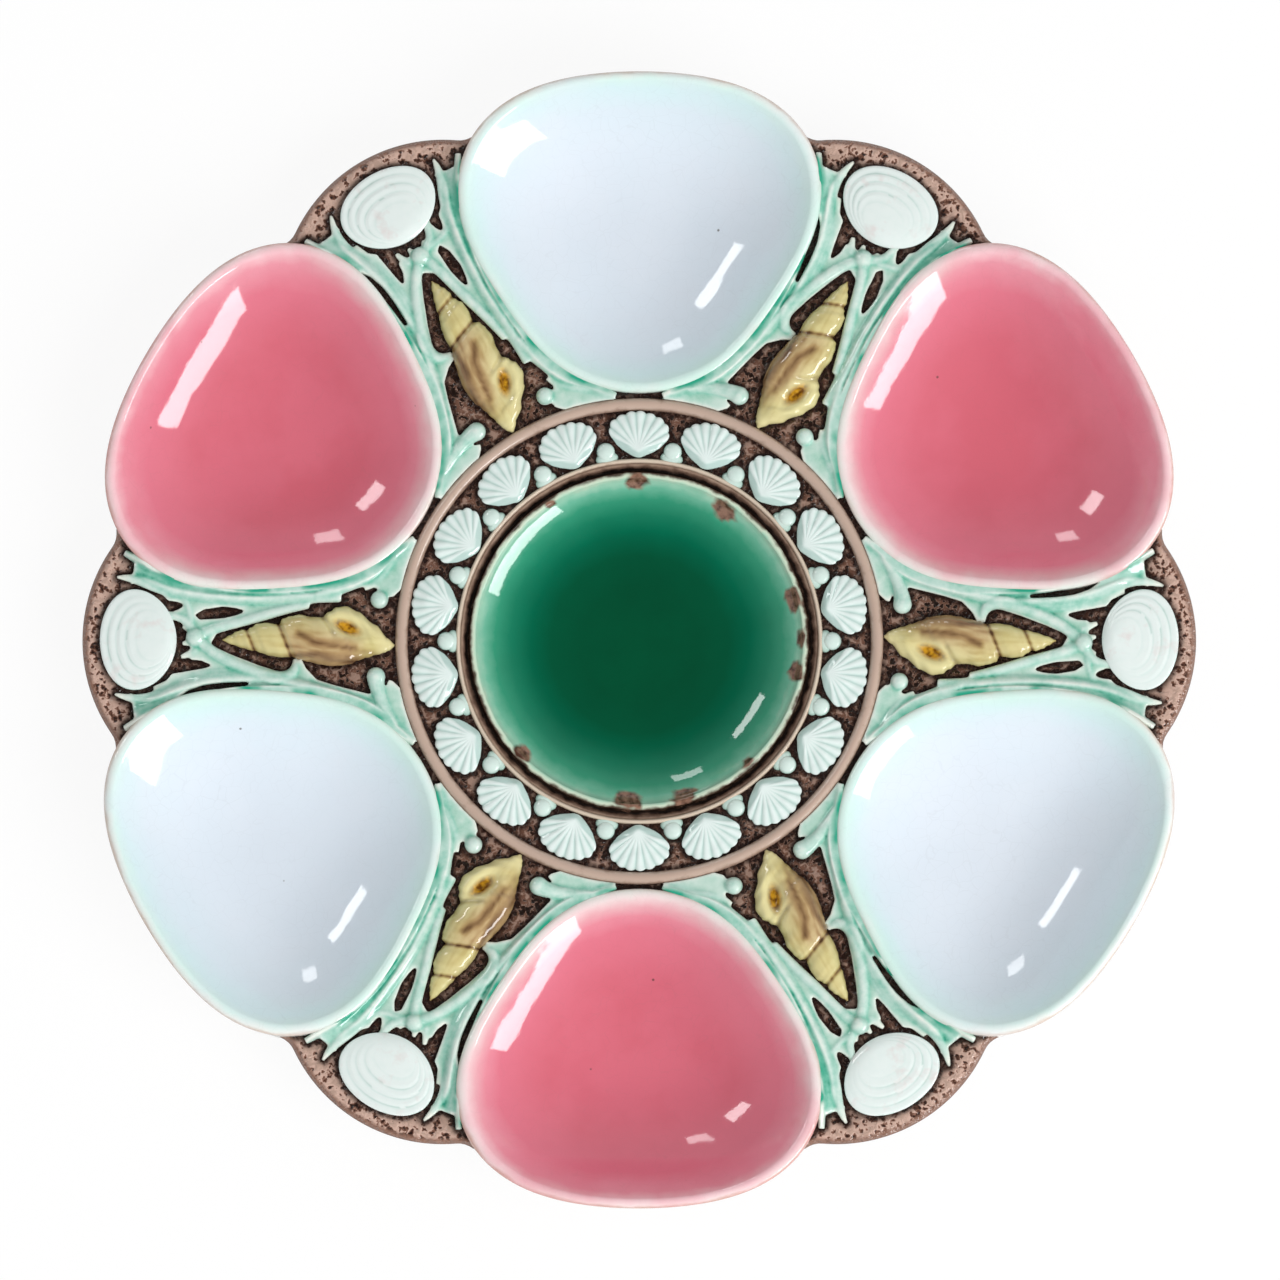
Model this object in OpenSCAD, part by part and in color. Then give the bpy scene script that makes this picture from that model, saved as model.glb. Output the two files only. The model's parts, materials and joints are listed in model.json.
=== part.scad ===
// Glazed earthenware oyster plate: six shell-shaped wells around a round sauce well,
// with moulded scallops, pearls, whelks, clams and seaweed on the ground between them.
// The origin is the middle of the foot ring's resting face and +Z is up.

/* [Plate] */
// Reach of the oyster wells from the middle of the plate
well_reach = 114.7; // [108:0.1:122]
// Reach of the six lobes between the wells
lobe_reach = 112.1; // [106:0.1:114]
// Radius of each lobe's round edge
lobe_r = 33; // [30:0.5:35]
// Overall height, at the outer end of the oyster wells
plate_h = 25; // [22:0.5:30]
// Height of the ground at the inner rim
ground_z = 16; // [14:0.5:18]
// Rise of the ground from the inner rim to the lobes
ground_rise = 3; // [1:0.5:4]
// Thickness of the fired clay
clay_t = 4.5; // [3.5:0.1:5]

/* [Oyster wells] */
// Number of oyster wells
wells = 6; // [6:1:6]
// Width of an oyster well across its widest place
well_w = 73.5; // [68:0.5:76]
// Space between a well's inner end and the ring band
well_gap = 0.9; // [0.5:0.1:2]
// Rise of the well's rim over the ground at its inner end
well_lip = 2.8; // [2:0.1:4]
// Width of the rounded rim
rim_w = 2.4; // [1.8:0.1:3]
// Space between the table and the underside of the wells
well_clear = 2.2; // [1:0.1:3]
// Draw-in of the outer wall where no ground meets it
wall_draft = 4; // [2:0.5:6]

/* [Sauce well] */
// Radius of the sauce well over its lip
sauce_r = 34.2; // [32:0.1:36]
// Depth of the sauce well under the ground
sauce_depth = 8.6; // [6:0.1:9.5]
// Width of the lip
sauce_lip_w = 1.4; // [1:0.1:2]
// Width of the groove round the lip
groove_w = 1.8; // [1.2:0.1:2.4]
// Depth of the groove
groove_depth = 1.2; // [0.8:0.1:1.6]

/* [Rings] */
// Width of the inner rim that the scallops stand against
inner_rim_w = 1; // [0.8:0.1:1.6]
// Height of the inner rim
inner_rim_h = 1; // [0.6:0.1:1.6]
// Outer radius of the ring band
band_r = 49.2; // [48:0.1:51]
// Width of the ring band
band_w = 2.6; // [2:0.1:3.4]
// Height of the ring band
band_h = 1.6; // [1:0.1:2.4]

/* [Foot] */
// Outer radius of the foot ring
foot_r = 46; // [43:0.5:48]
// Width of the foot ring's resting face
foot_w = 4; // [3:0.5:6]
// Widening of the foot ring where it meets the body
foot_flare = 1; // [0.5:0.1:1.5]

/* [Scallops and pearls] */
// Number of scallops, and of pearls between them
scallops = 18; // [16:1:20]
// Space between neighbouring scallops
scallop_gap = 2.6; // [2:0.1:4]
// Height of a scallop's crown
scallop_h = 1.9; // [1.2:0.1:2.6]
// Ribs on a scallop
scallop_ribs = 9; // [7:2:11]
// Diameter of a pearl
pearl_d = 3.3; // [2.6:0.1:3.8]
// Least space between a relief piece and its neighbour
relief_gap = 0.1; // [0.05:0.05:0.3]

/* [Whelks] */
// Length of a whelk
whelk_l = 34; // [30:0.5:35]
// Greatest width of a whelk
whelk_w = 12; // [10:0.5:13]
// Height of a whelk
whelk_h = 4.4; // [3:0.2:5.4]

/* [Rim clams] */
// Width of a clam
clam_w = 20.2; // [18:0.2:21]
// Length of a clam from its beak to its outer edge
clam_l = 15.4; // [14:0.2:16]
// Height of a clam's crown
clam_h = 2.6; // [1.8:0.2:3.4]
// Space between a clam and the lobe's outer edge
clam_edge = 3.6; // [3:0.1:5]
// Growth rings on a clam
clam_rings = 4; // [3:1:6]

/* [Seaweed] */
// Height of the seaweed over the ground
weed_h = 2.2; // [1.6:0.1:2.8]
// Bare ground round a clam, and along the ring band
weed_gap = 1.1; // [0.8:0.1:1.6]
// Bare edge of the lobe outside the seaweed
weed_edge = 7; // [5:0.5:9]
// Diameter of the seaweed's air bladders
bladder_d = 3.6; // [3:0.1:4]

/* [Hidden] */
// Overrun of a cut past the face it leaves
overrun = 1;
pitch = 360 / wells;
inner_rim_r = sauce_r + groove_w + inner_rim_w;
sauce_edge_r = inner_rim_r - inner_rim_w;
channel_r = band_r - band_w;
well_in = band_r + well_gap;
well_l = well_reach - well_in;
well_floor_z = well_clear + clay_t;
spoke_l = lobe_reach - band_r;

// Height of the ground's top face at a radius
function ground_top(r) = ground_z + ground_rise * (r - inner_rim_r) / (lobe_reach - inner_rim_r);
function seat(p, h = 0) = [p.x, p.y, ground_top(norm(p)) + h];
function turned(p, a) = [p.x * cos(a) - p.y * sin(a), p.x * sin(a) + p.y * cos(a)];

// An oyster well's outline in polar form about its own middle, as shares of its mean radius
well_shares = [1, 0.031, -0.062, -0.076, 0, 0.012];
function well_polar(a) = [for (i = [0 : len(well_shares) - 1]) cos(i * a)] * well_shares;
well_steps = 40;
function well_unit(a) = well_polar(a) * [cos(a), sin(a)];
unit_w = 2 * max([for (i = [0 : well_steps]) well_unit(360 * i / well_steps).y]);
unit_l = well_polar(0) + well_polar(180);
well_mid = well_in + well_l * well_polar(180) / unit_l;
function well_point(a, s = 1, inset = 0) = let (
        u = well_unit(a),
        full = [u.x * well_l / unit_l, u.y * well_w / unit_w],
        kept = full * (1 - inset / norm(full))
    ) kept * s + [well_mid, 0];
function crest_z(x) = let (low = ground_z + well_lip) low + (plate_h - low) * (x - well_in) / well_l;

// Share of the outer wall's draft at a place round the well, nothing where the ground meets it
land_angle = 62;
function free_share(a) = max(0, (cos(a) - cos(land_angle)) / (1 - cos(land_angle)));

// Closes rows of points, each a full turn, between two poles into one skin
function ring_faces(rows, steps) = concat(
    [for (i = [0 : steps - 1]) [0, 1 + i, 1 + (i + 1) % steps]],
    [for (j = [0 : rows - 2], i = [0 : steps - 1], half = [0, 1]) let (
            a = 1 + j * steps + i, b = 1 + j * steps + (i + 1) % steps
        ) half == 0 ? [a, a + steps, b] : [b, a + steps, b + steps]],
    [for (i = [0 : steps - 1]) let (a = 1 + (rows - 1) * steps)
        [a + i, 1 + rows * steps, a + (i + 1) % steps]]
);

// A shell of one well: the hollow's rows, the rounded rim, the outer wall and the underside
hollow_shares = [0.3, 0.52, 0.7, 0.84, 0.94];
hollow_power = 3;
rim_round_shares = [[0.62, 0.16], [0.3, 0.02], [0.08, 0.3]];
wall_top_share = 0.8;
under_shares = [0.9, 0.76, 0.56, 0.3];
under_power = 2;
module oyster_well(k) {
    angles = [for (i = [0 : well_steps - 1]) 360 * i / well_steps];
    hollow = [for (s = hollow_shares, a = angles) let (
            p = well_point(a, s, rim_w), top = crest_z(well_point(a, 1, rim_w).x)
        ) [p.x, p.y, well_floor_z + (top - rim_w / 2 - well_floor_z) * pow(s, hollow_power)]];
    rim = [for (s = rim_round_shares, a = angles) let (p = well_point(a, 1, rim_w * s[0]))
        [p.x, p.y, crest_z(p.x) - rim_w * s[1]]];
    wall_top = [for (a = angles) let (p = well_point(a)) [p.x, p.y, crest_z(p.x) - rim_w * wall_top_share]];
    wall_low = [for (a = angles) let (p = well_point(a, 1, wall_draft * free_share(a)))
        [p.x, p.y, ground_top(norm(p)) - clay_t]];
    under = [for (s = under_shares, i = [0 : well_steps - 1]) let (
            p = well_point(angles[i], s, wall_draft * free_share(angles[i]))
        ) [p.x, p.y, well_clear + (wall_low[i].z - well_clear) * pow(s, under_power)]];
    rows = len(hollow_shares) + len(rim_round_shares) + 2 + len(under_shares);
    points = concat([[well_mid, 0, well_floor_z]], hollow, rim, wall_top, wall_low, under,
        [[well_mid, 0, well_clear]]);
    color(k % 2 == 0 ? "#d96478" : "#d7e1eb")
        rotate(pitch * (k + 0.5))
            polyhedron(points, ring_faces(rows, well_steps));
}

// Flat outlines of the wells and of the ground between them
module well_outline(k) rotate(pitch * (k + 0.5))
    polygon([for (i = [0 : well_steps - 1]) well_point(360 * i / well_steps)]);
disc_share = 0.55;
module ground_outline() {
    difference() {
        union() {
            circle(lobe_reach * disc_share, $fn = 96);
            for (k = [0 : wells - 1]) rotate(pitch * k)
                translate([lobe_reach - lobe_r, 0]) circle(lobe_r, $fn = 96);
        }
        for (k = [0 : wells - 1]) well_outline(k);
        circle(sauce_edge_r, $fn = 96);
    }
}

// A layer of even thickness that follows the ground's cone
module ground_layer(low, high, r_in = sauce_edge_r) {
    r_out = lobe_reach + overrun;
    r_low = max(r_in - overrun, 0);
    rotate_extrude($fn = 96) polygon([
        [r_low, ground_top(r_low) + low], [r_out, ground_top(r_out) + low],
        [r_out, ground_top(r_out) + high], [r_low, ground_top(r_low) + high]
    ]);
}

module plate_ground() {
    color("#4a2e22")
        intersection() {
            linear_extrude(plate_h) ground_outline();
            ground_layer(-clay_t, 0);
        }
}

// The sauce well is turned: a shallow dish, its lip, the groove round it and its underside
sauce_shares = [0, 0.2, 0.4, 0.6, 0.8, 1];
sauce_power = 2.6;
module sauce_well() {
    lip_r = sauce_r - sauce_lip_w;
    floor_z = ground_z - sauce_depth;
    lip_z = ground_z + inner_rim_h;
    under_z = floor_z - clay_t;
    wall_z = ground_top(sauce_edge_r) - clay_t;
    dish = [for (s = sauce_shares)
        [lip_r * s, floor_z + (lip_z - sauce_lip_w / 2 - floor_z) * pow(s, sauce_power)]];
    lip = [for (a = [150 : -30 : 0])
        [sauce_r - sauce_lip_w / 2 * (1 - cos(a)), lip_z - sauce_lip_w / 2 * (1 - sin(a))]];
    groove = [[sauce_r, ground_z - groove_depth], [sauce_edge_r, ground_z - groove_depth]];
    under = [for (i = [len(sauce_shares) - 1 : -1 : 0]) let (s = sauce_shares[i])
        [sauce_edge_r * s, under_z + (wall_z - under_z) * pow(s, sauce_power)]];
    color("#00784f")
        rotate_extrude($fn = 96) polygon(concat(dish, lip, groove, under));
}

// A rounded ring that stands on the ground
module round_ring(r_out, w, h) {
    arc = [for (a = [0 : 15 : 180]) [r_out - w / 2 + w / 2 * cos(a), h * sin(a)]];
    rotate_extrude($fn = 96) polygon([for (p = arc) [p.x, ground_top(p.x) + p.y]]);
}
module inner_rim() color("#cdb9a4") round_ring(inner_rim_r, inner_rim_w, inner_rim_h);
module ring_band() color("#b99687") round_ring(band_r, band_w, band_h);

module foot_ring() {
    in_r = foot_r - foot_w;
    top_in = in_r - foot_flare;
    top_out = foot_r + foot_flare;
    color("#e8e2d2")
        rotate_extrude($fn = 96) polygon([
            [in_r, 0], [foot_r, 0],
            [top_out, ground_top(top_out) - clay_t], [top_in, ground_top(top_in) - clay_t]
        ]);
}

// A mound on the ground: rows drawn in from an outline to a pole, lifted by a function of
// the row's share of the way out and the point's place in the outline
module mound(outline, pole, shares, lift) {
    steps = len(outline);
    top = [for (s = shares, i = [0 : steps - 1])
        seat(pole + (outline[i] - pole) * s, lift(s, i))];
    base = [for (p = outline) seat(p)];
    points = concat([seat(pole, lift(0, 0))], top, base, [seat(pole)]);
    polyhedron(points, ring_faces(len(shares) + 1, steps));
}

// Scallops: a ribbed fan with its beak toward the middle of the plate
scallop_l = channel_r - inner_rim_r - 2 * relief_gap;
scallop_w = 2 * PI * (inner_rim_r + channel_r) / 2 / scallops - scallop_gap;
beak_share = 0.16;
fan_turn = 78;
fan_power = 6;
fan_half = 70;
rib_steps = 4;
beak_steps = 8;
rib_share = 0.16;
edge_share = 0.3;
crown_angle = 80;
fan_crown_power = 0.7;
fan_rows = [0.35, 0.65, 0.88, 1];
fan_angles = concat(
    [for (i = [0 : scallop_ribs * rib_steps]) fan_half * (2 * i / (scallop_ribs * rib_steps) - 1)],
    [for (i = [1 : beak_steps - 1]) fan_half + (360 - 2 * fan_half) * i / beak_steps]
);
function rib_wave(a) = abs(a) > fan_half ? 0 : cos((a / fan_half + 1) * 180 * scallop_ribs);
function fan_point(a) = let (
        off = min(a, 360 - a),
        reach = beak_share + (1 - 2 * beak_share) / (1 + pow(abs(off) / fan_turn, fan_power)),
        crest = reach * (1 - rib_share * (1 + rib_wave(off)) * scallop_gap / scallop_l)
    ) [scallop_l * (crest * cos(a) + beak_share), scallop_w * crest * sin(a) * fan_wide];
fan_wide = 1 / (2 * max([for (a = [0 : fan_half])
    (beak_share + (1 - 2 * beak_share) / (1 + pow(a / fan_turn, fan_power))) * sin(a)]));
function fan_lift(s, a) = scallop_h * (edge_share + (1 - edge_share) * pow(cos(crown_angle * s), fan_crown_power)
    - rib_share * s * rib_wave(a));
module scallop(k) {
    a = (k + 0.5) * 360 / scallops;
    beak_r = inner_rim_r + relief_gap;
    outline = [for (b = fan_angles) turned(fan_point(b) + [beak_r, 0], a)];
    color("#cde6de")
        mound(outline, turned([beak_r + beak_share * scallop_l, 0], a), fan_rows,
            function (s, i) fan_lift(s, fan_angles[i]));
}

// Pearls stand between the scallops' beaks, each on a small web from the inner rim
module pearls() {
    pearl_r = inner_rim_r + relief_gap + pearl_d / 2;
    web_h = pearl_d / 4;
    color("#cde6de")
        for (k = [0 : scallops - 1]) rotate(k * 360 / scallops)
            intersection() {
                translate([pearl_r, 0, ground_top(pearl_r)]) union() {
                    sphere(d = pearl_d, $fn = 24);
                    cylinder(h = 2 * web_h, d = pearl_d, center = true, $fn = 24);
                }
                ground_layer(0, pearl_d, inner_rim_r);
            }
}

// Whelks: half-round rings along the shell, slanted as its whorls are. Each row holds the
// way along the shell, its left edge, its right edge and its height, all as shares
whelk_shares = [
    [0.01, -0.23, -0.07, 0.15], [0.04, -0.33, 0.1, 0.3], [0.08, -0.4, 0.55, 0.42],
    [0.14, -0.48, 0.98, 0.55], [0.2, -0.58, 1.17, 0.66], [0.26, -0.68, 1.13, 0.76],
    [0.31, -0.8, 0.98, 0.86], [0.37, -0.85, 0.8, 0.93], [0.43, -0.87, 0.8, 0.98],
    [0.49, -0.82, 0.88, 1], [0.55, -0.73, 0.8, 0.96], [0.6, -0.65, 0.67, 0.86],
    [0.64, -0.53, 0.48, 0.66], [0.68, -0.58, 0.57, 0.75], [0.74, -0.55, 0.57, 0.74],
    [0.8, -0.47, 0.45, 0.62], [0.845, -0.33, 0.35, 0.44], [0.88, -0.33, 0.35, 0.47],
    [0.94, -0.18, 0.22, 0.32], [0.99, -0.03, 0.08, 0.12]
];
whorl_slant = 0.34;
slant_fade_share = 0.1;
mouth_shares = [0.28, 0.37];
mouth_reach_shares = [0.09, 0.2];
mouth_dip = 0.5;
arch_steps = 10;
function mouth(along, x) = let (
        d = [(along - mouth_shares[0]) / mouth_reach_shares[0],
            (x - mouth_shares[1]) / mouth_reach_shares[1]]
    ) 1 - mouth_dip * exp(-(d * d));
function whelk_point(row, i) = let (
        a = 180 * i / arch_steps,
        x = (row[1] + row[2]) / 2 + (row[2] - row[1]) / 2 * cos(a),
        slant = whorl_slant * min(row[0] / slant_fade_share, (1 - row[0]) / slant_fade_share, 1)
    ) [
        band_r + relief_gap + whelk_l * row[0] + x * whelk_w / 2 * slant,
        -x * whelk_w / 2,
        whelk_h * row[3] * sin(a) * mouth(row[0], x)
    ];
module whelk(k) {
    a = pitch * k;
    rows = len(whelk_shares);
    wide = arch_steps + 1;
    points = [for (row = whelk_shares, i = [0 : arch_steps]) let (p = whelk_point(row, i))
        seat(turned([p.x, p.y], a), p.z)];
    skin = [for (j = [0 : rows - 2], i = [0 : arch_steps - 1], half = [0, 1]) let (
            b = j * wide + i
        ) half == 0 ? [b, b + wide, b + 1] : [b + 1, b + wide, b + wide + 1]];
    base = [for (j = [0 : rows - 2], half = [0, 1]) let (
            b = j * wide, c = b + arch_steps
        ) half == 0 ? [b, c, b + wide] : [c, c + wide, b + wide]];
    ends = [for (i = [1 : arch_steps - 1], far = [0, 1]) let (b = far * (rows - 1) * wide)
        far == 0 ? [b, b + i, b + i + 1] : [b, b + i + 1, b + i]];
    color("#cdbe7d")
        polyhedron(points, concat(skin, base, ends));
}

// Clams: an oval with its beak inward, domed, with low steps as growth rings
clam_steps = 28;
clam_rows = [0.2, 0.4, 0.55, 0.7, 0.8, 0.9, 0.96, 1];
clam_mid_r = lobe_reach - clam_edge - clam_l / 2;
clam_beak_share = 0.3;
clam_taper_share = 0.1;
ring_share = 0.06;
clam_crown_power = 0.6;
function clam_point(q) = [-clam_l / 2 * cos(360 * q),
    clam_w / 2 * sin(360 * q) * (1 - clam_taper_share * cos(360 * q))];
function clam_lift(s) = clam_h * (edge_share + (1 - edge_share) * pow(cos(crown_angle * s), clam_crown_power)
    + ring_share * cos(360 * s * clam_rings) * s);
module rim_clam(k) {
    a = pitch * k;
    outline = [for (i = [0 : clam_steps - 1])
        turned([clam_mid_r, 0] + clam_point(-i / clam_steps), a)];
    color("#cde6de")
        mound(outline, turned([clam_mid_r - clam_beak_share * clam_l, 0], a), clam_rows,
            function (s, i) clam_lift(s));
}

// Seaweed covers the ground between two wells, apart from clearings round the shells and
// narrow slots between its fronds. The slots' points are shares of half the waist between
// two wells and of the way from the ring band to the lobe's edge
waist = well_waist();
function well_waist() = min([for (i = [0 : well_steps / 2])
    abs(turned(well_point(180 * i / (well_steps / 2)), -pitch / 2).y)]);
function spoke_point(p) = [band_r + spoke_l * p[1], -waist * p[0]];

// The whelk's clearing takes its place and size from the whelk: its points are shares of
// half the whelk's width and of its length
function whelk_spot(p) = [band_r + relief_gap + whelk_l * p[1], -whelk_w / 2 * p[0]];
whelk_clearing_shares = [
    [-0.16, 1.09], [-0.49, 0.96], [-0.82, 0.81], [-1.12, 0.645], [-0.59, 0.552],
    [-0.92, 0.524], [-1.31, 0.46], [-1.48, 0.367], [-1.64, 0.256], [-1.8, 0.145],
    [-1.61, 0.053], [-1.31, 0.034], [-1.48, -0.077], [1.48, -0.077], [1.48, 0.034],
    [1.9, 0.145], [1.58, 0.312], [1.35, 0.432], [1.08, 0.571], [0.82, 0.719],
    [0.59, 0.885], [0.41, 1.033]
];
left_slot_shares = [
    [-1.24, 0.7], [-1.04, 0.66], [-0.86, 0.58], [-0.8, 0.5], [-0.84, 0.465], [-0.98, 0.47],
    [-1, 0.52], [-1.04, 0.6], [-1.15, 0.67]
];
fork_shares = [[-0.72, 0.74], [-0.6, 0.63], [-0.53, 0.58], [-0.42, 0.62], [-0.36, 0.74]];
right_slot_shares = [
    [0.42, 0.625], [0.52, 0.64], [0.63, 0.61], [0.69, 0.55], [0.66, 0.51], [0.6, 0.475],
    [0.52, 0.505], [0.45, 0.55]
];
edge_slot_shares = [
    [0.58, 0.735], [0.7, 0.765], [0.83, 0.75], [0.78, 0.695], [0.72, 0.67], [0.62, 0.695]
];
bladder_spots = [[-0.74, 0.06], [0.84, 0.05]];
module slot(shares) polygon([for (p = shares) spoke_point(p)]);
module seaweed_outline() {
    difference() {
        intersection() {
            ground_outline();
            rotate(-pitch / 2) square(lobe_reach);
            rotate(pitch / 2 - 90) square(lobe_reach);
        }
        circle(band_r + weed_gap, $fn = 96);
        polygon([for (p = whelk_clearing_shares) whelk_spot(p)]);
        slot(left_slot_shares);
        slot(fork_shares);
        slot(right_slot_shares);
        slot(edge_slot_shares);
        polygon([for (i = [0 : clam_steps - 1]) [clam_mid_r, 0]
            + clam_point(i / clam_steps) * (1 + 2 * weed_gap / clam_l)]);
        difference() {
            circle(lobe_reach + overrun, $fn = 96);
            circle(lobe_reach - weed_edge, $fn = 96);
        }
    }
}
module seaweed(k) {
    color("#96dcc3")
        rotate(pitch * k) intersection() {
            linear_extrude(plate_h + weed_h) union() {
                seaweed_outline();
                for (p = bladder_spots) translate(spoke_point(p)) circle(d = bladder_d, $fn = 24);
            }
            ground_layer(0, weed_h);
        }
}

plate_ground();
foot_ring();
sauce_well();
inner_rim();
ring_band();
pearls();
for (k = [1 : wells]) oyster_well(k - 1);
for (k = [1 : scallops]) scallop(k - 1);
for (k = [1 : wells]) whelk(k - 1);
for (k = [1 : wells]) rim_clam(k - 1);
for (k = [1 : wells]) seaweed(k - 1);
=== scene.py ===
import json
from math import atan2, copysign, cos, exp, hypot, pi, radians, sin, sqrt, tau
import bmesh
import bpy
import numpy as np
from mathutils import Matrix, Vector, noise
from mathutils.kdtree import KDTree

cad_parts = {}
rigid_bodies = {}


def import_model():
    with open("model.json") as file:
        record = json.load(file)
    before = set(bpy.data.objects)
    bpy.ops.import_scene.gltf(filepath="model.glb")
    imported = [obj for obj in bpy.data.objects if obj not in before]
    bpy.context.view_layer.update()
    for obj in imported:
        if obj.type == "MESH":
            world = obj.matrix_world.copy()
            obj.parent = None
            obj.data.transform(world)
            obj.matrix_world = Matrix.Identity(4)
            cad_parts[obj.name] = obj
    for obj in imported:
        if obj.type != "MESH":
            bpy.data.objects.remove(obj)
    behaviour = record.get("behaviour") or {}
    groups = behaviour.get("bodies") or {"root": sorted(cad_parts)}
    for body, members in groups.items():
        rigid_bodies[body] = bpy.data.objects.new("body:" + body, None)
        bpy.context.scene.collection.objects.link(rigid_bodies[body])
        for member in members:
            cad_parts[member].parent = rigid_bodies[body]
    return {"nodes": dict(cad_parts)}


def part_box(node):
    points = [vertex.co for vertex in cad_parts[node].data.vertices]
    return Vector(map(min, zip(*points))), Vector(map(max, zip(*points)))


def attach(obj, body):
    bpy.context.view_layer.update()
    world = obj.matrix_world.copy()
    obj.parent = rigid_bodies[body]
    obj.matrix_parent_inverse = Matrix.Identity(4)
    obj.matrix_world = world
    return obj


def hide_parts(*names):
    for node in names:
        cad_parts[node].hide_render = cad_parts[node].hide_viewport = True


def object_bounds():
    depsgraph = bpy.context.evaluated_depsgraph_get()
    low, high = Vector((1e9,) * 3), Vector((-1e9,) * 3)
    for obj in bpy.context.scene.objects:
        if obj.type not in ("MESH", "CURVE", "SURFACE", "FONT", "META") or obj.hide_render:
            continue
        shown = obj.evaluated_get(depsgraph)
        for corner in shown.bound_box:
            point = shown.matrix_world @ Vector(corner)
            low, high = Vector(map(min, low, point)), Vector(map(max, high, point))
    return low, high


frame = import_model()
cadLow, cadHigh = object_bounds()
mm = 0.001
weld = 0.01 * mm
print("frame loaded,", len(frame["nodes"]), "nodes")

# The plate's main places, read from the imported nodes
wellLow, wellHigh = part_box("oyster_well_2")
groundLow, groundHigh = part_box("plate_ground")
plate = {
    "wells": 6,
    "wellIn": wellLow.y, "wellReach": wellHigh.y, "wellWide": wellHigh.x - wellLow.x,
    "underside": wellLow.z,
    "lobeReach": groundHigh.x, "lobeRadius": 33 * mm,
    "bandOuter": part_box("ring_band")[1].x, "bandWide": 2.6 * mm,
    "innerRim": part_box("inner_rim")[1].x, "innerRimWide": 1 * mm,
    "clay": 4.5 * mm,
    "top": cadHigh.z,
    "wellLip": 2.8 * mm,
}
plate["pitch"] = tau / plate["wells"]
plate["sauceEdge"] = plate["innerRim"] - plate["innerRimWide"]
plate["floor"] = plate["underside"] + plate["clay"]
plate["slope"] = (groundHigh.z - groundLow.z - plate["clay"]) / (plate["lobeReach"] - plate["sauceEdge"])
wellShares = [1, 0.031, -0.062, -0.076, 0, 0.012]  # the outline's mean radius and its waves


def groundTop(radius):
    return groundHigh.z - plate["slope"] * (plate["lobeReach"] - radius)


def onGround(x, y, lift):
    return x, y, groundTop(hypot(x, y)) + lift


def overGround(place):
    return place.z - groundTop(hypot(place.x, place.y))


def wellWave(angle):
    return sum(share * np.cos(i * angle) for i, share in enumerate(wellShares))


unitWide = 2 * max(wellWave(radians(a)) * sin(radians(a)) for a in range(180))
unitLong = wellWave(0) + wellWave(pi)
wellLong = plate["wellReach"] - plate["wellIn"]
wellMid = plate["wellIn"] + wellLong * wellWave(pi) / unitLong
alongScale, acrossScale = wellLong / unitLong, plate["wellWide"] / unitWide


def wellRim(angle):
    # a well's outer edge, from its own middle, x pointing away from the plate's middle
    wave = wellWave(angle)
    return wave * np.cos(angle) * alongScale, wave * np.sin(angle) * acrossScale


def wellGaps(points):
    # how far points lie outside the nearest well's edge, and that edge's height
    x, y = points[:, 0], points[:, 1]
    turn = (np.floor(np.arctan2(y, x) / plate["pitch"]) + 0.5) * plate["pitch"]
    u = x * np.cos(turn) + y * np.sin(turn) - wellMid
    v = y * np.cos(turn) - x * np.sin(turn)
    rimX, rimY = wellRim(np.arctan2(v / acrossScale, u / alongScale))
    return np.hypot(u, v) - np.hypot(rimX, rimY), crestHeight(wellMid + rimX)


def crestHeight(x):
    low = groundTop(plate["innerRim"]) + plate["wellLip"]
    return low + (plate["top"] - low) * (x - plate["wellIn"]) / wellLong


def smoothStep(value):
    value = min(max(value, 0), 1)
    return value * value * (3 - 2 * value)


def between(table, place, column):
    # reads a column of rows sorted by their first value, eased between rows
    for low, high in zip(table, table[1:]):
        if place <= high[0]:
            return low[column] + (high[column] - low[column]) * smoothStep(
                (place - low[0]) / (high[0] - low[0]))
    return table[-1][column]


# Colour and node helpers
def hexColour(code):
    parts = [int(code[i:i + 2], 16) / 255 for i in (0, 2, 4)]
    return [p / 12.92 if p <= 0.04045 else ((p + 0.055) / 1.055) ** 2.4 for p in parts] + [1]


def addNode(tree, kind, inputs=None, stops=None, **settings):
    # an input is a value, a colour's code or another node's output, and stops are a ramp's colours
    node = tree.nodes.new("ShaderNode" + kind)
    for key, value in settings.items():
        setattr(node, key, value)
    for key, value in (inputs or {}).items():
        if isinstance(value, bpy.types.NodeSocket):
            tree.links.new(value, node.inputs[key])
        else:
            node.inputs[key].default_value = hexColour(value) if isinstance(value, str) else value
    if stops:
        elements = node.color_ramp.elements
        for element, (place, code) in zip(elements, (stops[0], stops[-1])):
            element.position, element.color = place, hexColour(code)
        for place, code in stops[1:-1]:
            elements.new(place).color = hexColour(code)
    return node


def waysFrom(tree, name, low, high):
    # an attribute of the mesh in millimetres or shares, brought to the range 0 to 1
    way = addNode(tree, "Attribute", attribute_name=name).outputs["Fac"]
    return addNode(tree, "MapRange", {0: way, 1: low, 2: high}).outputs[0]


def placeIn(tree):
    return tree.nodes["Texture Coordinate"].outputs["Object"]


def patternNoise(tree, size, detail, rough=0.5):
    # size is the real size of the pattern's patches in metres
    return addNode(tree, "TexNoise", {
        "Vector": placeIn(tree), "Scale": 1 / size, "Detail": detail, "Roughness": rough}).outputs["Fac"]


glaze = {
    "ior": 1.55, "slowWave": 9 * mm, "fineWave": 1.6 * mm, "fineShare": 0.08, "waveDeep": 0.6 * mm,
    "crazePatch": 22 * mm, "crazeColour": "6d6a66", "speckSpace": 13 * mm, "speckColour": "4a4038",
    "shellPatch": 1.8 * mm, "shellStain": 5 * mm}


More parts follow.
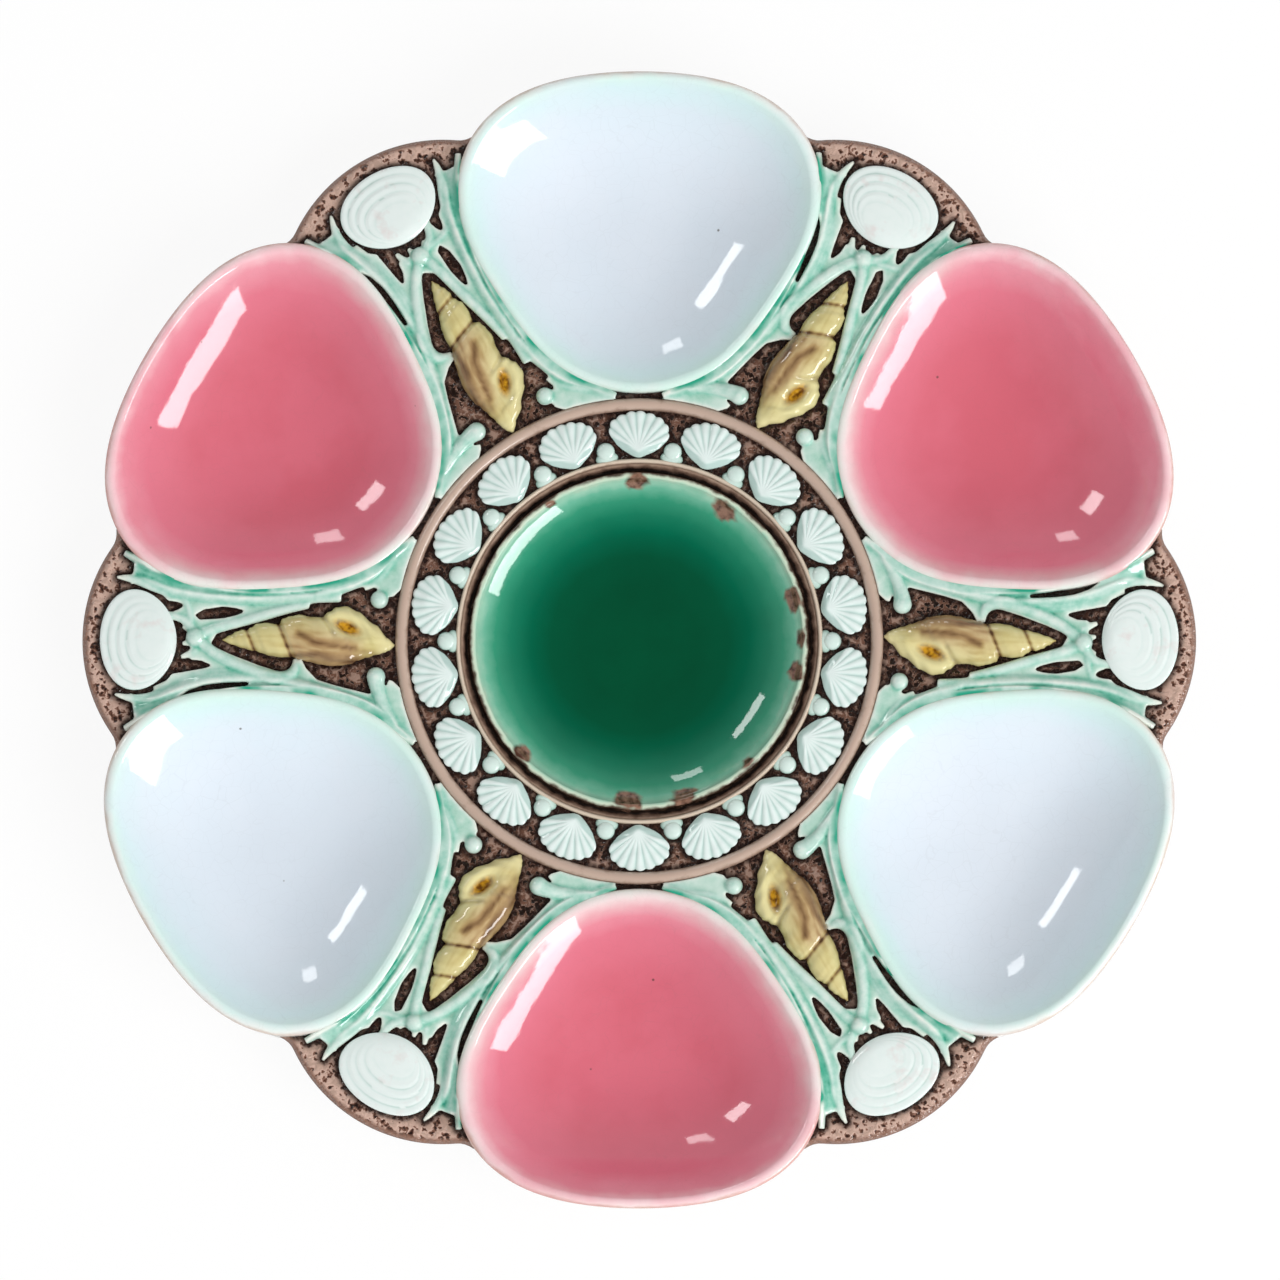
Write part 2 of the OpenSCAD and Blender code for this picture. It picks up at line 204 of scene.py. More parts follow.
def glazedMaterial(name, roughness, wave):
    # lead glaze over earthenware: clear, thick and glassy, with slow waves in its surface
    material = bpy.data.materials.new(name)
    material.use_nodes = True
    tree = material.node_tree
    shader = tree.nodes["Principled BSDF"]
    shader.inputs["Roughness"].default_value = roughness
    shader.inputs["IOR"].default_value = glaze["ior"]
    addNode(tree, "TexCoord")
    waves = addNode(tree, "Math", {
        0: patternNoise(tree, glaze["fineWave"], 2), 1: glaze["fineShare"],
        2: patternNoise(tree, glaze["slowWave"], 1)}, operation="MULTIPLY_ADD").outputs[0]
    bump = addNode(tree, "Bump", {"Strength": wave, "Distance": glaze["waveDeep"], "Height": waves})
    tree.links.new(bump.outputs["Normal"], shader.inputs["Normal"])
    return material, tree


def coloured(material, colour, *layers):
    # each layer is a mask and the colour that it lays over the ones before
    tree = material.node_tree
    for mask, over in layers:
        colour = addNode(tree, "Mix", {0: mask, 6: colour, 7: over}, data_type="RGBA").outputs[2]
    tree.links.new(colour, tree.nodes["Principled BSDF"].inputs["Base Color"])
    return material


def bentPlace(tree, size, push):
    # places pushed about by a noise, so that a pattern drawn on them isn't regular
    bent = addNode(tree, "TexNoise", {"Vector": placeIn(tree), "Scale": 1 / size}).outputs["Color"]
    return addNode(tree, "VectorMath", {0: bent, 1: (push, push, push), 2: placeIn(tree)},
                   operation="MULTIPLY_ADD").outputs[0]


def crazing(tree, cell, line, strength):
    # a layer with a net of hairline cracks, drawn a little wider than real so that it shows
    cells = addNode(tree, "TexVoronoi", {"Vector": bentPlace(tree, cell * 2, cell), "Scale": 1 / cell},
                    feature="DISTANCE_TO_EDGE")
    net = addNode(tree, "MapRange", {
        0: cells.outputs["Distance"], 1: 0.0, 2: line, 3: strength, 4: 0.0}).outputs[0]
    patches = patternNoise(tree, glaze["crazePatch"], 1)
    seen = addNode(tree, "Math", {0: net, 1: patches}, operation="MULTIPLY").outputs[0]
    return seen, glaze["crazeColour"]


def specks(tree):
    # a layer with iron specks, a third to two thirds of a millimetre wide
    spots = addNode(tree, "TexVoronoi", {"Vector": placeIn(tree), "Scale": 1 / glaze["speckSpace"]})
    way = spots.outputs["Distance"]
    near = addNode(tree, "MapRange", {0: way, 1: 0.014, 2: 0.026, 3: 0.75, 4: 0.0}).outputs[0]
    return near, glaze["speckColour"]


# Building helpers
def spunProfile(points, steps):
    bm = bmesh.new()
    verts = [bm.verts.new((x, 0, z)) for x, z in points]
    edges = [bm.edges.new(pair) for pair in zip(verts, verts[1:])]
    bmesh.ops.spin(bm, geom=verts + edges, cent=(0, 0, 0), axis=(0, 0, 1),
                   angle=tau, steps=steps, use_merge=True)
    bmesh.ops.remove_doubles(bm, verts=bm.verts, dist=weld)
    return bm


def polar(place):
    return hypot(place.x, place.y), atan2(place.y, place.x)


def newMark(bm, name):
    # a value at each point, which the glazes read
    return bm.verts.layers.float.new(name)


def bowlPoints(reach, low, high, power, rows):
    # a bowl's curve, from its middle to its edge
    return [(reach * i / rows, low + (high - low) * (i / rows) ** power) for i in range(rows + 1)]


def moundDisc(rows, steps):
    # a unit disc, domed later: its top lies at z 1 and its flat seat at z 0
    return spunProfile([(i / rows, 1) for i in range(rows + 1)] + [(1, 0), (0, 0)], steps)


def meshFrom(name, bm):
    mesh = bpy.data.meshes.new(name)
    bm.to_mesh(mesh)
    bm.free()
    return mesh


def addObject(name, data):
    item = bpy.data.objects.new(name, data)
    bpy.context.scene.collection.objects.link(item)
    return item


def bakedMesh(item):
    # the object's shape with its curves or modifiers worked out; the object itself goes
    mesh = bpy.data.meshes.new_from_object(item.evaluated_get(bpy.context.evaluated_depsgraph_get()))
    bpy.data.objects.remove(item)
    return mesh


def meshPoints(mesh):
    points = np.empty(len(mesh.vertices) * 3, np.float32)
    mesh.vertices.foreach_get("co", points)
    return points.reshape(-1, 3)


def addPiece(name, bm, material, nodes, turn=0.0):
    if turn:
        bmesh.ops.rotate(bm, verts=bm.verts, cent=(0, 0, 0), matrix=Matrix.Rotation(turn, 3, "Z"))
    bmesh.ops.recalc_face_normals(bm, faces=bm.faces)
    mesh = meshFrom(name, bm)
    mesh.shade_smooth()
    placePiece(name, mesh, material, nodes)


def placePiece(name, mesh, material, nodes):
    piece = addObject(name, mesh)
    mesh.materials.clear()
    mesh.materials.append(material)
    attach(piece, "root")
    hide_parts(*nodes)


def aimAt(item, target, distance, azimuth, elevation):
    # places a camera or lamp round its target, by angles in degrees
    a, e = radians(azimuth), radians(elevation)
    item.location = target + distance * Vector((cos(a) * cos(e), sin(a) * cos(e), sin(e)))
    item.rotation_euler = (target - item.location).to_track_quat("-Z", "Y").to_euler()


# The camera looks almost straight down through a long lens
view = {
    "azimuth": -90, "elevation": 85, "distance": 3, "frameWide": 257.5 * mm, "sensor": 36,
    "aim": Vector((0.15, -0.1, 20)) * mm}
camera = addObject("camera", bpy.data.cameras.new("camera"))
bpy.context.scene.camera = camera
aimAt(camera, view["aim"], view["distance"], view["azimuth"], view["elevation"])
camera.data.sensor_width = view["sensor"]
camera.data.lens = view["sensor"] * view["distance"] / view["frameWide"]
camera.data.clip_start, camera.data.clip_end = 0.01, 20
print("camera placed")


# Oyster wells
well = {
    "steps": 144, "hollowRows": 26, "rimSteps": 12, "wallSteps": 5, "underRows": 12,
    "radius": 34 * mm, "height": 22 * mm, "power": 2.35, "rimRadius": 1.25 * mm, "rimTurn": radians(143),
    "foot": 12 * mm, "nearLip": 0.2 * mm, "nearSide": 0.4 * mm, "draft": 4 * mm,
    "landAngle": radians(62), "washFade": 0.5, "washReach": 5.4, "unevenSize": 6 * mm,
    "cloudSize": 26 * mm, "washSize": 8 * mm, "crazeSize": 2.6 * mm}


def buildWell():
    top, rimRadius, radius, floor = well["height"], well["rimRadius"], well["radius"], plate["floor"]
    rimTurn, foot = well["rimTurn"], well["foot"]  # the hollow's side runs into the round rim at rimTurn
    lipR = radius - rimRadius + rimRadius * cos(rimTurn)
    lipZ = top - rimRadius + rimRadius * sin(rimTurn)
    points = bowlPoints(lipR, floor, lipZ, well["power"], well["hollowRows"])[:-1]
    points += [(radius - rimRadius + rimRadius * cos(a), top - rimRadius + rimRadius * sin(a))
               for a in np.linspace(rimTurn, 0, well["rimSteps"] + 1)]
    points += [(radius, z) for z in np.linspace(top - rimRadius, foot, well["wallSteps"] + 1)[1:]]
    points += bowlPoints(radius, plate["underside"], foot, 2, well["underRows"])[-2::-1]
    bm = spunProfile(points, well["steps"])
    rimWay, flank = newMark(bm, "rimWay"), newMark(bm, "flank")
    for v in bm.verts:
        rho, angle = polar(v.co)
        side = floor + (lipZ - floor) * (rho / lipR) ** well["power"]
        inside = rho < lipR + well["nearLip"] and v.co.z > side - well["nearSide"]
        below = top - v.co.z
        if inside or (rho < radius - rimRadius and v.co.z > top - rimRadius):
            v[rimWay] = (radius - rho) / mm
        else:
            v[rimWay] = (radius - rho - below) / mm if below < rimRadius else -below / mm
        v[flank] = smoothStep((abs(angle) - well["landAngle"]) / well["washFade"])
        rim = Vector(wellRim(angle))
        crest = crestHeight(wellMid + rim.x)
        free = max(0, (cos(angle) - cos(well["landAngle"])) / (1 - cos(well["landAngle"])))
        low = 0 if v[rimWay] > -rimRadius / mm else smoothStep((below - rimRadius) / (top - foot))
        inset = well["draft"] * free * low
        place = rim * (rho / radius) * (1 - inset / rim.length) + Vector((wellMid, 0))
        z = v.co.z
        if z > floor:
            z = floor + (z - floor) * (crest - floor) / (top - floor)
        v.co = (place.x, place.y, z)
    return bm


def wellGlaze(name, stops, wash, cloud):
    # tin-white or manganese-pink majolica glaze: deep in the bowl, thin and pale over the rim; the pink's
    # darker colour in the bowl is partly painted shade
    material, tree = glazedMaterial(name, 0.06, 0.22)
    first, last = stops[0][0], stops[-1][0]
    uneven = addNode(tree, "Math", {
        0: patternNoise(tree, well["unevenSize"], 3), 1: 0.06, 2: waysFrom(tree, "rimWay", first, last)},
        operation="MULTIPLY_ADD").outputs[0]
    lowered = addNode(tree, "Math", {0: uneven, 1: -0.03}, operation="ADD").outputs[0]
    colour = addNode(tree, "ValToRGB", {0: lowered}, [
        ((way - first) / (last - first), code) for way, code in stops]).outputs[0]
    clouds = addNode(tree, "MapRange", {
        0: patternNoise(tree, well["cloudSize"], 4, 0.6), 1: 0.42, 2: 0.62, 3: 0, 4: 0.4}).outputs[0]
    flowed = addNode(tree, "Math", {
        0: waysFrom(tree, "flank", 0, 1), 1: waysFrom(tree, "rimWay", well["washReach"], 0)},
        operation="MULTIPLY").outputs[0]
    patchy = addNode(tree, "MapRange", {
        0: patternNoise(tree, well["washSize"], 3), 1: 0.3, 2: 0.65, 3: 0.35, 4: 0.95}).outputs[0]
    washed = addNode(tree, "Math", {0: flowed, 1: patchy}, operation="MULTIPLY").outputs[0]
    return coloured(material, colour, (clouds, cloud), (washed, wash),
                    crazing(tree, well["crazeSize"], 0.03, 0.1), specks(tree))


# the pink darkens towards the bowl's middle, partly for the thicker glaze and partly as painted shade
pinkGlaze = wellGlaze("pinkMajolicaGlaze", [
    (-10, "e8ddcd"), (-5, "e6d2c4"), (-2, "dcb3a8"), (-0.6, "c79f92"), (0.5, "ecd3d3"), (1.8, "efc4ca"),
    (3.6, "e496a4"), (8, "d87285"), (16, "cf6777"), (30, "cf6675")], "e0e6df", "dc788a")
whiteGlaze = wellGlaze("whiteMajolicaGlaze", [
    (-10, "e8e2d4"), (-5, "e2ddd0"), (-2, "d9d0c4"), (-0.6, "c9b3a2"), (0.5, "e4e8e2"), (1.8, "d3ebe5"),
    (3.6, "d2e8ea"), (8, "d7e3eb"), (16, "d8e1ea"), (30, "d6dee7")], "c8e8dd", "dde2ea")
wellShape = buildWell()
for k in range(plate["wells"]):
    kind, wellColour = ("pink", pinkGlaze) if k % 2 == 0 else ("white", whiteGlaze)
    addPiece(f"{kind}OysterWell{k + 1}", wellShape.copy(), wellColour,
             [f"oyster_well_{k + 1}"], plate["pitch"] * (k + 0.5))
print("oyster wells made")


# Sauce well, with its lip and the groove round it, given in millimetres past the lip and down.
# A chip's three values are its angle in degrees, its way from the middle and its size in millimetres
sauce = {
    "steps": 192, "rows": 44, "lipSteps": 10, "underRows": 16, "radius": 34.2 * mm, "lip": 1.4 * mm,
    "lipTurn": radians(150), "rise": 1 * mm, "depth": 8.6 * mm, "power": 3.8, "underThick": 2 * mm,
    "bareWay": 60, "unevenSize": 3 * mm, "streakSize": 12 * mm, "chipSize": 1.5 * mm,
    "chipDeep": 0.15 * mm, "chipLow": 1 * mm, "chipRagged": 1.6 * mm,
    "groove": [(0.1, 0.7), (0.3, 1.2), (0.8, 1.2)], "grooveEdge": (0.5 * mm, 0.2 * mm),
    "chips": [(91, 32.4, 2.3), (57, 31.6, 2.6), (15, 32.3, 2.4), (1, 32.6, 1.6), (-11, 32.2, 2.2),
              (-74, 32.4, 2.6), (-94, 32.2, 3.0), (-136, 32.6, 2.0), (-48, 32.9, 1.3), (123, 33, 1.2)]}


def buildSauceWell():
    radius, edge, lip = sauce["radius"], plate["sauceEdge"], sauce["lip"]
    ground = groundTop(plate["innerRim"])
    floor, lipZ = ground - sauce["depth"], ground + sauce["rise"]
    points = bowlPoints(radius - lip, floor, lipZ - lip / 2, sauce["power"], sauce["rows"])
    points += [(radius - lip / 2 * (1 - cos(a)), lipZ - lip / 2 * (1 - sin(a)))
               for a in np.linspace(sauce["lipTurn"], 0, sauce["lipSteps"] + 1)]
    points += [(radius + past * mm, ground - down * mm) for past, down in sauce["groove"]]
    points += [(edge - sauce["grooveEdge"][0], ground - sauce["grooveEdge"][1]), (edge, ground)]
    wall = groundTop(edge) - plate["clay"]
    under = floor - plate["clay"]
    points += bowlPoints(edge, under, wall, sauce["power"], sauce["underRows"])[::-1]
    bm = spunProfile(points, sauce["steps"])
    chip, glazeWay = newMark(bm, "chip"), newMark(bm, "glazeWay")
    for v in bm.verts:
        rho, angle = polar(v.co)
        thick = v.co.z - under - (wall - under) * (rho / edge) ** sauce["power"]
        v[glazeWay] = rho / mm if thick > sauce["underThick"] else sauce["bareWay"]
        worn = 0
        for spot, way, size in sauce["chips"]:
            off = (angle - radians(spot) + pi) % tau - pi
            reach = hypot(off * rho, (rho - way * mm) * 1.5) / (size * mm)
            reach += 0.5 * noise.noise(v.co / sauce["chipRagged"])
            worn = max(worn, smoothStep(1.5 - reach))
        v[chip] = worn
        if v.co.z > floor - sauce["chipLow"]:
            v.co.z -= sauce["chipDeep"] * worn
    return bm


def sauceGlaze():
    # copper-green glaze, nearly black-green where it lies deep and mint where it thins out
    material, tree = glazedMaterial("copperGreenGlaze", 0.05, 0.3)
    uneven = addNode(tree, "Math", {
        0: patternNoise(tree, sauce["unevenSize"], 3), 1: 0.03,
        2: waysFrom(tree, "glazeWay", 0, sauce["bareWay"])}, operation="MULTIPLY_ADD").outputs[0]
    lowered = addNode(tree, "Math", {0: uneven, 1: -0.015}, operation="ADD").outputs[0]
    colour = addNode(tree, "ValToRGB", {0: lowered}, [
        (0.0, "004d30"), (0.2, "004c30"), (0.3, "005135"), (0.37, "006145"), (0.436, "007657"),
        (0.486, "238f6d"), (0.52, "64b093"), (0.545, "9fcdb5"), (0.558, "cfdcc6"), (0.567, "4a3427"),
        (0.574, "150d0a"), (0.581, "150d0a"), (0.589, "70574a"), (0.597, "a58b79"),
        (0.75, "e6dfcf")]).outputs[0]
    streaks = addNode(tree, "MapRange", {
        0: patternNoise(tree, sauce["streakSize"], 5, 0.6), 1: 0.4, 2: 0.7, 3: 0, 4: 0.12}).outputs[0]
    colour = addNode(tree, "Mix", {
        0: streaks, 6: colour, 7: "006b49"}, data_type="RGBA", blend_type="MULTIPLY").outputs[2]
    clay = addNode(tree, "ValToRGB", {0: patternNoise(tree, sauce["chipSize"], 3)}, [
        (0.35, "4a2f24"), (0.6, "8d6a58")]).outputs[0]
    return coloured(material, colour, (waysFrom(tree, "chip", 0.25, 0.75), clay))


addPiece("greenSauceWell", buildSauceWell(), sauceGlaze(), ["sauce_well"])
print("sauce well made")


# Inner rim, ring band and foot ring
rings = {
    "steps": 192, "arcSteps": 16, "innerRimHeight": 1 * mm, "bandHeight": 1.7 * mm, "seat": 0.4 * mm,
    "ripple": 0.12 * mm, "rippleSize": 7 * mm, "patchSize": 2.6 * mm,
    "footRadius": 46 * mm, "footWide": 4 * mm, "footFlare": 1 * mm, "footRound": 0.8 * mm,
    "footSunk": 0.3 * mm, "footPatch": 14 * mm, "footCraze": 3 * mm}


def buildRing(outer, wide, height):
    arc = np.linspace(0, pi, rings["arcSteps"] + 1)
    points = [(outer - wide / 2 + wide / 2 * cos(a), height * sin(a)) for a in arc]
    seat = -rings["seat"]
    points = [(outer, seat)] + points + [(outer - wide, seat), (outer, seat)]
    bm = spunProfile([(x, groundTop(x) + z) for x, z in points], rings["steps"])
    ridge = newMark(bm, "ridge")
    for v in bm.verts:
        rise = overGround(v.co)
        v[ridge] = rise / height
        if rise > 0:
            v.co.z += rings["ripple"] * noise.noise(v.co / rings["rippleSize"])
    return bm


def rimGlaze(name, low, middle, high):
    # thin clear brown glaze that has run off the raised edge and pooled dark beside it
    material, tree = glazedMaterial(name, 0.16, 0.4)
    broken = addNode(tree, "Math", {
        0: patternNoise(tree, rings["patchSize"], 4, 0.65), 1: 0.9,
        2: waysFrom(tree, "ridge", 0.18, 1.58)}, operation="MULTIPLY_ADD").outputs[0]
    colour = addNode(tree, "ValToRGB", {0: broken}, [(0.3, low), (0.6, middle), (0.917, high)]).outputs[0]
    return coloured(material, colour)


addPiece("innerRim", buildRing(plate["innerRim"], plate["innerRimWide"], rings["innerRimHeight"]),
         rimGlaze("creamRimGlaze", "6d4b3c", "ab937f", "cfbeab"), ["inner_rim"])
addPiece("ringBand", buildRing(plate["bandOuter"], plate["bandWide"], rings["bandHeight"]),
         rimGlaze("tanBandGlaze", "4e362c", "947a6b", "bba394"), ["ring_band"])


def buildFoot():
    outer, inner, curve = rings["footRadius"], rings["footRadius"] - rings["footWide"], rings["footRound"]
    points = [(inner + curve, 0), (outer - curve, 0), (outer - curve * 0.3, curve * 0.3), (outer, curve)]
    points += [(x, groundTop(x) - plate["clay"] + rings["footSunk"])
               for x in (outer + rings["footFlare"], inner - rings["footFlare"])]
    points += [(inner, curve), (inner + curve * 0.3, curve * 0.3), (inner + curve, 0)]
    return spunProfile(points, rings["steps"])


def bodyGlaze():
    # cream earthenware under a clear lead glaze, finely crazed
    material, tree = glazedMaterial("clearGlazeOnCreamware", 0.1, 0.3)
    patches = patternNoise(tree, rings["footPatch"], 4)
    colour = addNode(tree, "ValToRGB", {0: patches}, [(0.35, "ded5c2"), (0.65, "ece6d8")]).outputs[0]
    return coloured(material, colour, crazing(tree, rings["footCraze"], 0.04, 0.5), specks(tree))


addPiece("footRing", buildFoot(), bodyGlaze(), ["foot_ring"])
print("rings and foot made")


# Scallops and pearls in the ring round the sauce well
scallop = {
    "count": 18, "rows": 16, "steps": 110, "ribs": 9, "beak": 0.16, "fanTurn": 78, "fanHalf": 70,
    "height": 1.9 * mm, "edge": 0.4, "gap": 2.3 * mm, "clear": 0.1 * mm, "rib": 0.2 * mm,
    "dent": 0.28 * mm, "dentSize": 2.6 * mm, "seat": 0.2 * mm, "tilt": 5}
channelOuter = plate["bandOuter"] - plate["bandWide"]
scallop["long"] = channelOuter - plate["innerRim"] - 2 * scallop["clear"]
scallop["wide"] = pi * (channelOuter + plate["innerRim"]) / scallop["count"] - scallop["gap"]


def fanReach(degrees):
    return scallop["beak"] + (1 - 2 * scallop["beak"]) / (1 + (abs(degrees) / scallop["fanTurn"]) ** 6)


fanWide = 1 / (2 * max(fanReach(a) * sin(radians(a)) for a in range(90)))


def buildScallop(k):
    bm = moundDisc(scallop["rows"], scallop["steps"])
    groove = newMark(bm, "groove")
    fold = 0.84 * pi  # most of the disc's turn goes to the ribbed fan
    lean = radians(scallop["tilt"]) * sin(k * 2.4 + 1)
    for v in bm.verts:
        share, turn = polar(v.co)
        if abs(turn) < fold:
            degrees = scallop["fanHalf"] * turn / fold
            phase = (degrees / scallop["fanHalf"] + 1) / 2 * scallop["ribs"] * pi
            rib = abs(sin(phase)) ** 0.8
        else:
            past = (abs(turn) - fold) / (pi - fold)
            degrees = copysign(scallop["fanHalf"] + (180 - scallop["fanHalf"]) * past, turn)
            rib = 0
        uneven = 1 + 0.035 * noise.noise(Vector((degrees / 35, k * 5, 0)))
        reach = fanReach(degrees) * (1 - 0.05 * (1 - rib)) * share * uneven
        x = scallop["long"] * (reach * cos(radians(degrees)) + scallop["beak"])
        y = scallop["wide"] * reach * sin(radians(degrees)) * fanWide
        height = -scallop["seat"]
        if v.co.z > 0.5:
            dome = scallop["edge"] + (1 - scallop["edge"]) * cos(1.5 * share) ** 0.75
            dented = noise.noise(Vector((x / scallop["dentSize"], y / scallop["dentSize"], k * 7)))
            height = scallop["height"] * dome + scallop["rib"] * (rib - 0.5) * smoothStep(share * 1.3)
            height += scallop["dent"] * dented
        v[groove] = (1 - rib) * smoothStep(share * 1.6)
        spun = Matrix.Rotation(lean, 2) @ Vector((x - scallop["long"] / 2, y))
        radius = plate["innerRim"] + scallop["clear"] + scallop["long"] / 2 + spun.x
        v.co = onGround(radius, spun.y, height)
    return bm


def shellGlaze(name, high, middle, low, tint):
    # pale mint glaze that runs off the ridges and gathers in the grooves
    material, tree = glazedMaterial(name, 0.08, 0.4)
    broken = addNode(tree, "Math", {
        0: patternNoise(tree, glaze["shellPatch"], 3), 1: 0.35, 2: waysFrom(tree, "groove", 0, 1)},
        operation="MULTIPLY_ADD").outputs[0]
    colour = addNode(tree, "ValToRGB", {0: broken}, [(0.15, high), (0.5, middle), (1.0, low)]).outputs[0]
    stained = addNode(tree, "MapRange", {
        0: patternNoise(tree, glaze["shellStain"], 3, 0.65), 1: 0.56, 2: 0.72, 3: 0, 4: 0.4}).outputs[0]
    return coloured(material, colour, (stained, tint))


scallopGlaze = shellGlaze("mintScallopGlaze", "dee9e6", "d1e1dc", "b6cec8", "cbd9d5")
for k in range(scallop["count"]):
    addPiece(f"scallop{k + 1}", buildScallop(k), scallopGlaze, [f"scallop_{k + 1}"],
             tau * (k + 0.5) / scallop["count"])

pearl = {
    "radius": 1.85 * mm, "seatRadius": 38.85 * mm, "lift": 0.25 * mm, "flat": (1, 1, 0.75, 1),
    "webRadius": 2.3 * mm, "webAway": 0.5 * mm, "webLift": -0.05 * mm, "webFlat": (0.62, 1, 0.42, 1),
    "pooled": 0.7, "bareHeight": 1.2 * mm}


def buildPearls():
    # each pearl is a flattened ball with a lower web of clay between it and the inner rim
    bm = bmesh.new()
    for k in range(scallop["count"]):
        turn = Matrix.Rotation(tau * k / scallop["count"], 4, "Z")
        seat = groundTop(pearl["seatRadius"])
        for away, lift, flat, rows, radius in (
                (pearl["seatRadius"], pearl["lift"], pearl["flat"], 16, pearl["radius"]),
                (plate["innerRim"] + pearl["webAway"], pearl["webLift"], pearl["webFlat"], 12,
                 pearl["webRadius"])):
            place = turn @ Matrix.Translation((away, 0, seat + lift)) @ Matrix.Diagonal(flat)
            bmesh.ops.create_uvsphere(bm, u_segments=24, v_segments=rows, radius=radius, matrix=place)
    groove = newMark(bm, "groove")
    for v in bm.verts:
        v[groove] = pearl["pooled"] * (1 - smoothStep(overGround(v.co) / pearl["bareHeight"]))
    return bm


pearlGlaze = shellGlaze("mintPearlGlaze", "cfe0d9", "b9d2c8", "8fb2a5", "bcd2c9")
addPiece("pearls", buildPearls(), pearlGlaze, ["pearls"])
print("scallops and pearls made")


# Clams on the lobes
clam = {
    "rows": 40, "steps": 96, "bareEdge": 3.6 * mm, "long": 15.4 * mm, "wide": 20.2 * mm,
    "height": 2.7 * mm, "beak": 0.33, "taper": 0.1, "ridges": 6, "ridge": 0.18 * mm,
    "ragged": 0.15, "raggedSize": 6 * mm, "sideTurn": 0.6, "seat": 0.3 * mm, "edge": 0.34}
clam["middle"] = plate["lobeReach"] - clam["bareEdge"] - clam["long"] / 2


def buildClam(k):
    bm = moundDisc(clam["rows"], clam["steps"])
    groove = newMark(bm, "groove")
    pole = Vector((clam["middle"] - clam["beak"] * clam["long"], 0))
    for v in bm.verts:
        share, turn = polar(v.co)
        rim = Vector((clam["middle"] + clam["long"] / 2 * cos(turn),
                      clam["wide"] / 2 * sin(turn) * (1 + clam["taper"] * cos(turn))))
        place = pole + (rim - pole) * share
        height = -clam["seat"]
        ragged = noise.noise(Vector((*place, k * mm)) / clam["raggedSize"])
        step = (share ** 1.25 * clam["ridges"] + clam["ragged"] * ragged) % 1
        sided = 0.5 + 0.5 * cos(turn - clam["sideTurn"])  # the ridges are worn off on one side
        if v.co.z > 0.5:
            dome = clam["edge"] + (1 - clam["edge"]) * cos(1.45 * share) ** 0.6
            wave = smoothStep(step * 1.25) if step < 0.8 else 1 - smoothStep((step - 0.8) * 5)
            fade = smoothStep((share - 0.3) * 2.5) * sided
            height = clam["height"] * dome + clam["ridge"] * (wave - 0.5) * fade
        v[groove] = 0.7 * smoothStep(1 - step * 3) * smoothStep((share - 0.3) * 3) * sided
        v.co = onGround(place.x, place.y, height)
    return bm


clamGlaze = shellGlaze("mintClamGlaze", "dfe8e5", "d3e1dd", "b0c7bf", "d6bfbd")
for k in range(plate["wells"]):
    addPiece(f"clam{k + 1}", buildClam(k), clamGlaze, [f"rim_clam_{k + 1}"],
             plate["pitch"] * k)
print("clams made")


# Whelks: each row has the way along the shell, its left and right edges and its height, as shares
# and its spots, reaches and lines are in millimetres, outward from the plate's middle and across
whelk = {
    "rows": 110, "steps": 44, "clear": 0.1 * mm, "long": 34.6 * mm, "wide": 12 * mm,
    "height": 4.6 * mm, "slant": 0.4, "fade": 0.1, "seat": 0.3 * mm, "foot": 0.9 * mm,
    "mouth": (58.8, 2.5), "mouthTurn": radians(22), "mouthReach": (3.2, 1.45),
    "mouthDeep": 2.3 * mm, "lipRing": 1.75, "lipWide": 0.45, "lipBack": -0.8, "lipRise": 0.5 * mm,
    "pale": (58, 3.6), "paleReach": (5.5, 3), "paleEnd": 54, "paleFade": 3,
    "sutures": (0.638, 0.838), "sutureWide": 0.022, "creaseWide": 0.55, "creaseDeep": 0.8 * mm,
    "twistWide": 0.8, "twistShare": 0.3, "streakWide": 0.9 * mm,
    "patchSize": 2.5 * mm, "tanSize": 7 * mm, "amberSize": 1.3 * mm}
whelkCreases = [(1.3, 61.6), (3.6, 62.8), (6.6, 65.4)]  # these two are across, then outward
whelkTwist = [(1.2, 68.6), (-0.6, 65.4), (-1.2, 61.4), (-1.6, 57)]
whelkRows = [
    (0.0, -0.2, -0.1, 0.1), (0.04, -0.33, 0.1, 0.3), (0.08, -0.4, 0.55, 0.42), (0.14, -0.48, 0.98, 0.55),
    (0.2, -0.58, 1.17, 0.68), (0.26, -0.68, 1.13, 0.78), (0.31, -0.8, 0.98, 0.88), (0.37, -0.85, 0.8, 0.95),
    (0.43, -0.87, 0.8, 1.0), (0.49, -0.82, 0.88, 1.0), (0.55, -0.73, 0.82, 0.95), (0.6, -0.65, 0.74, 0.86),
    (0.635, -0.56, 0.54, 0.7), (0.655, -0.57, 0.56, 0.76), (0.7, -0.58, 0.6, 0.82),
    (0.76, -0.53, 0.57, 0.76), (0.805, -0.43, 0.44, 0.62), (0.835, -0.35, 0.35, 0.5),
    (0.855, -0.35, 0.37, 0.54), (0.9, -0.27, 0.3, 0.44), (0.95, -0.15, 0.18, 0.28), (1.0, -0.02, 0.06, 0.1)]


def wayToLine(point, line):
    ways = []
    for start, end in zip(line, line[1:]):
        start, step = Vector(start), Vector(end) - Vector(start)
        share = min(max((point - start).dot(step) / step.length_squared, 0), 1)
        ways.append((point - start - step * share).length)
    return min(ways)


def bell(value):
    return exp(-value ** 2)


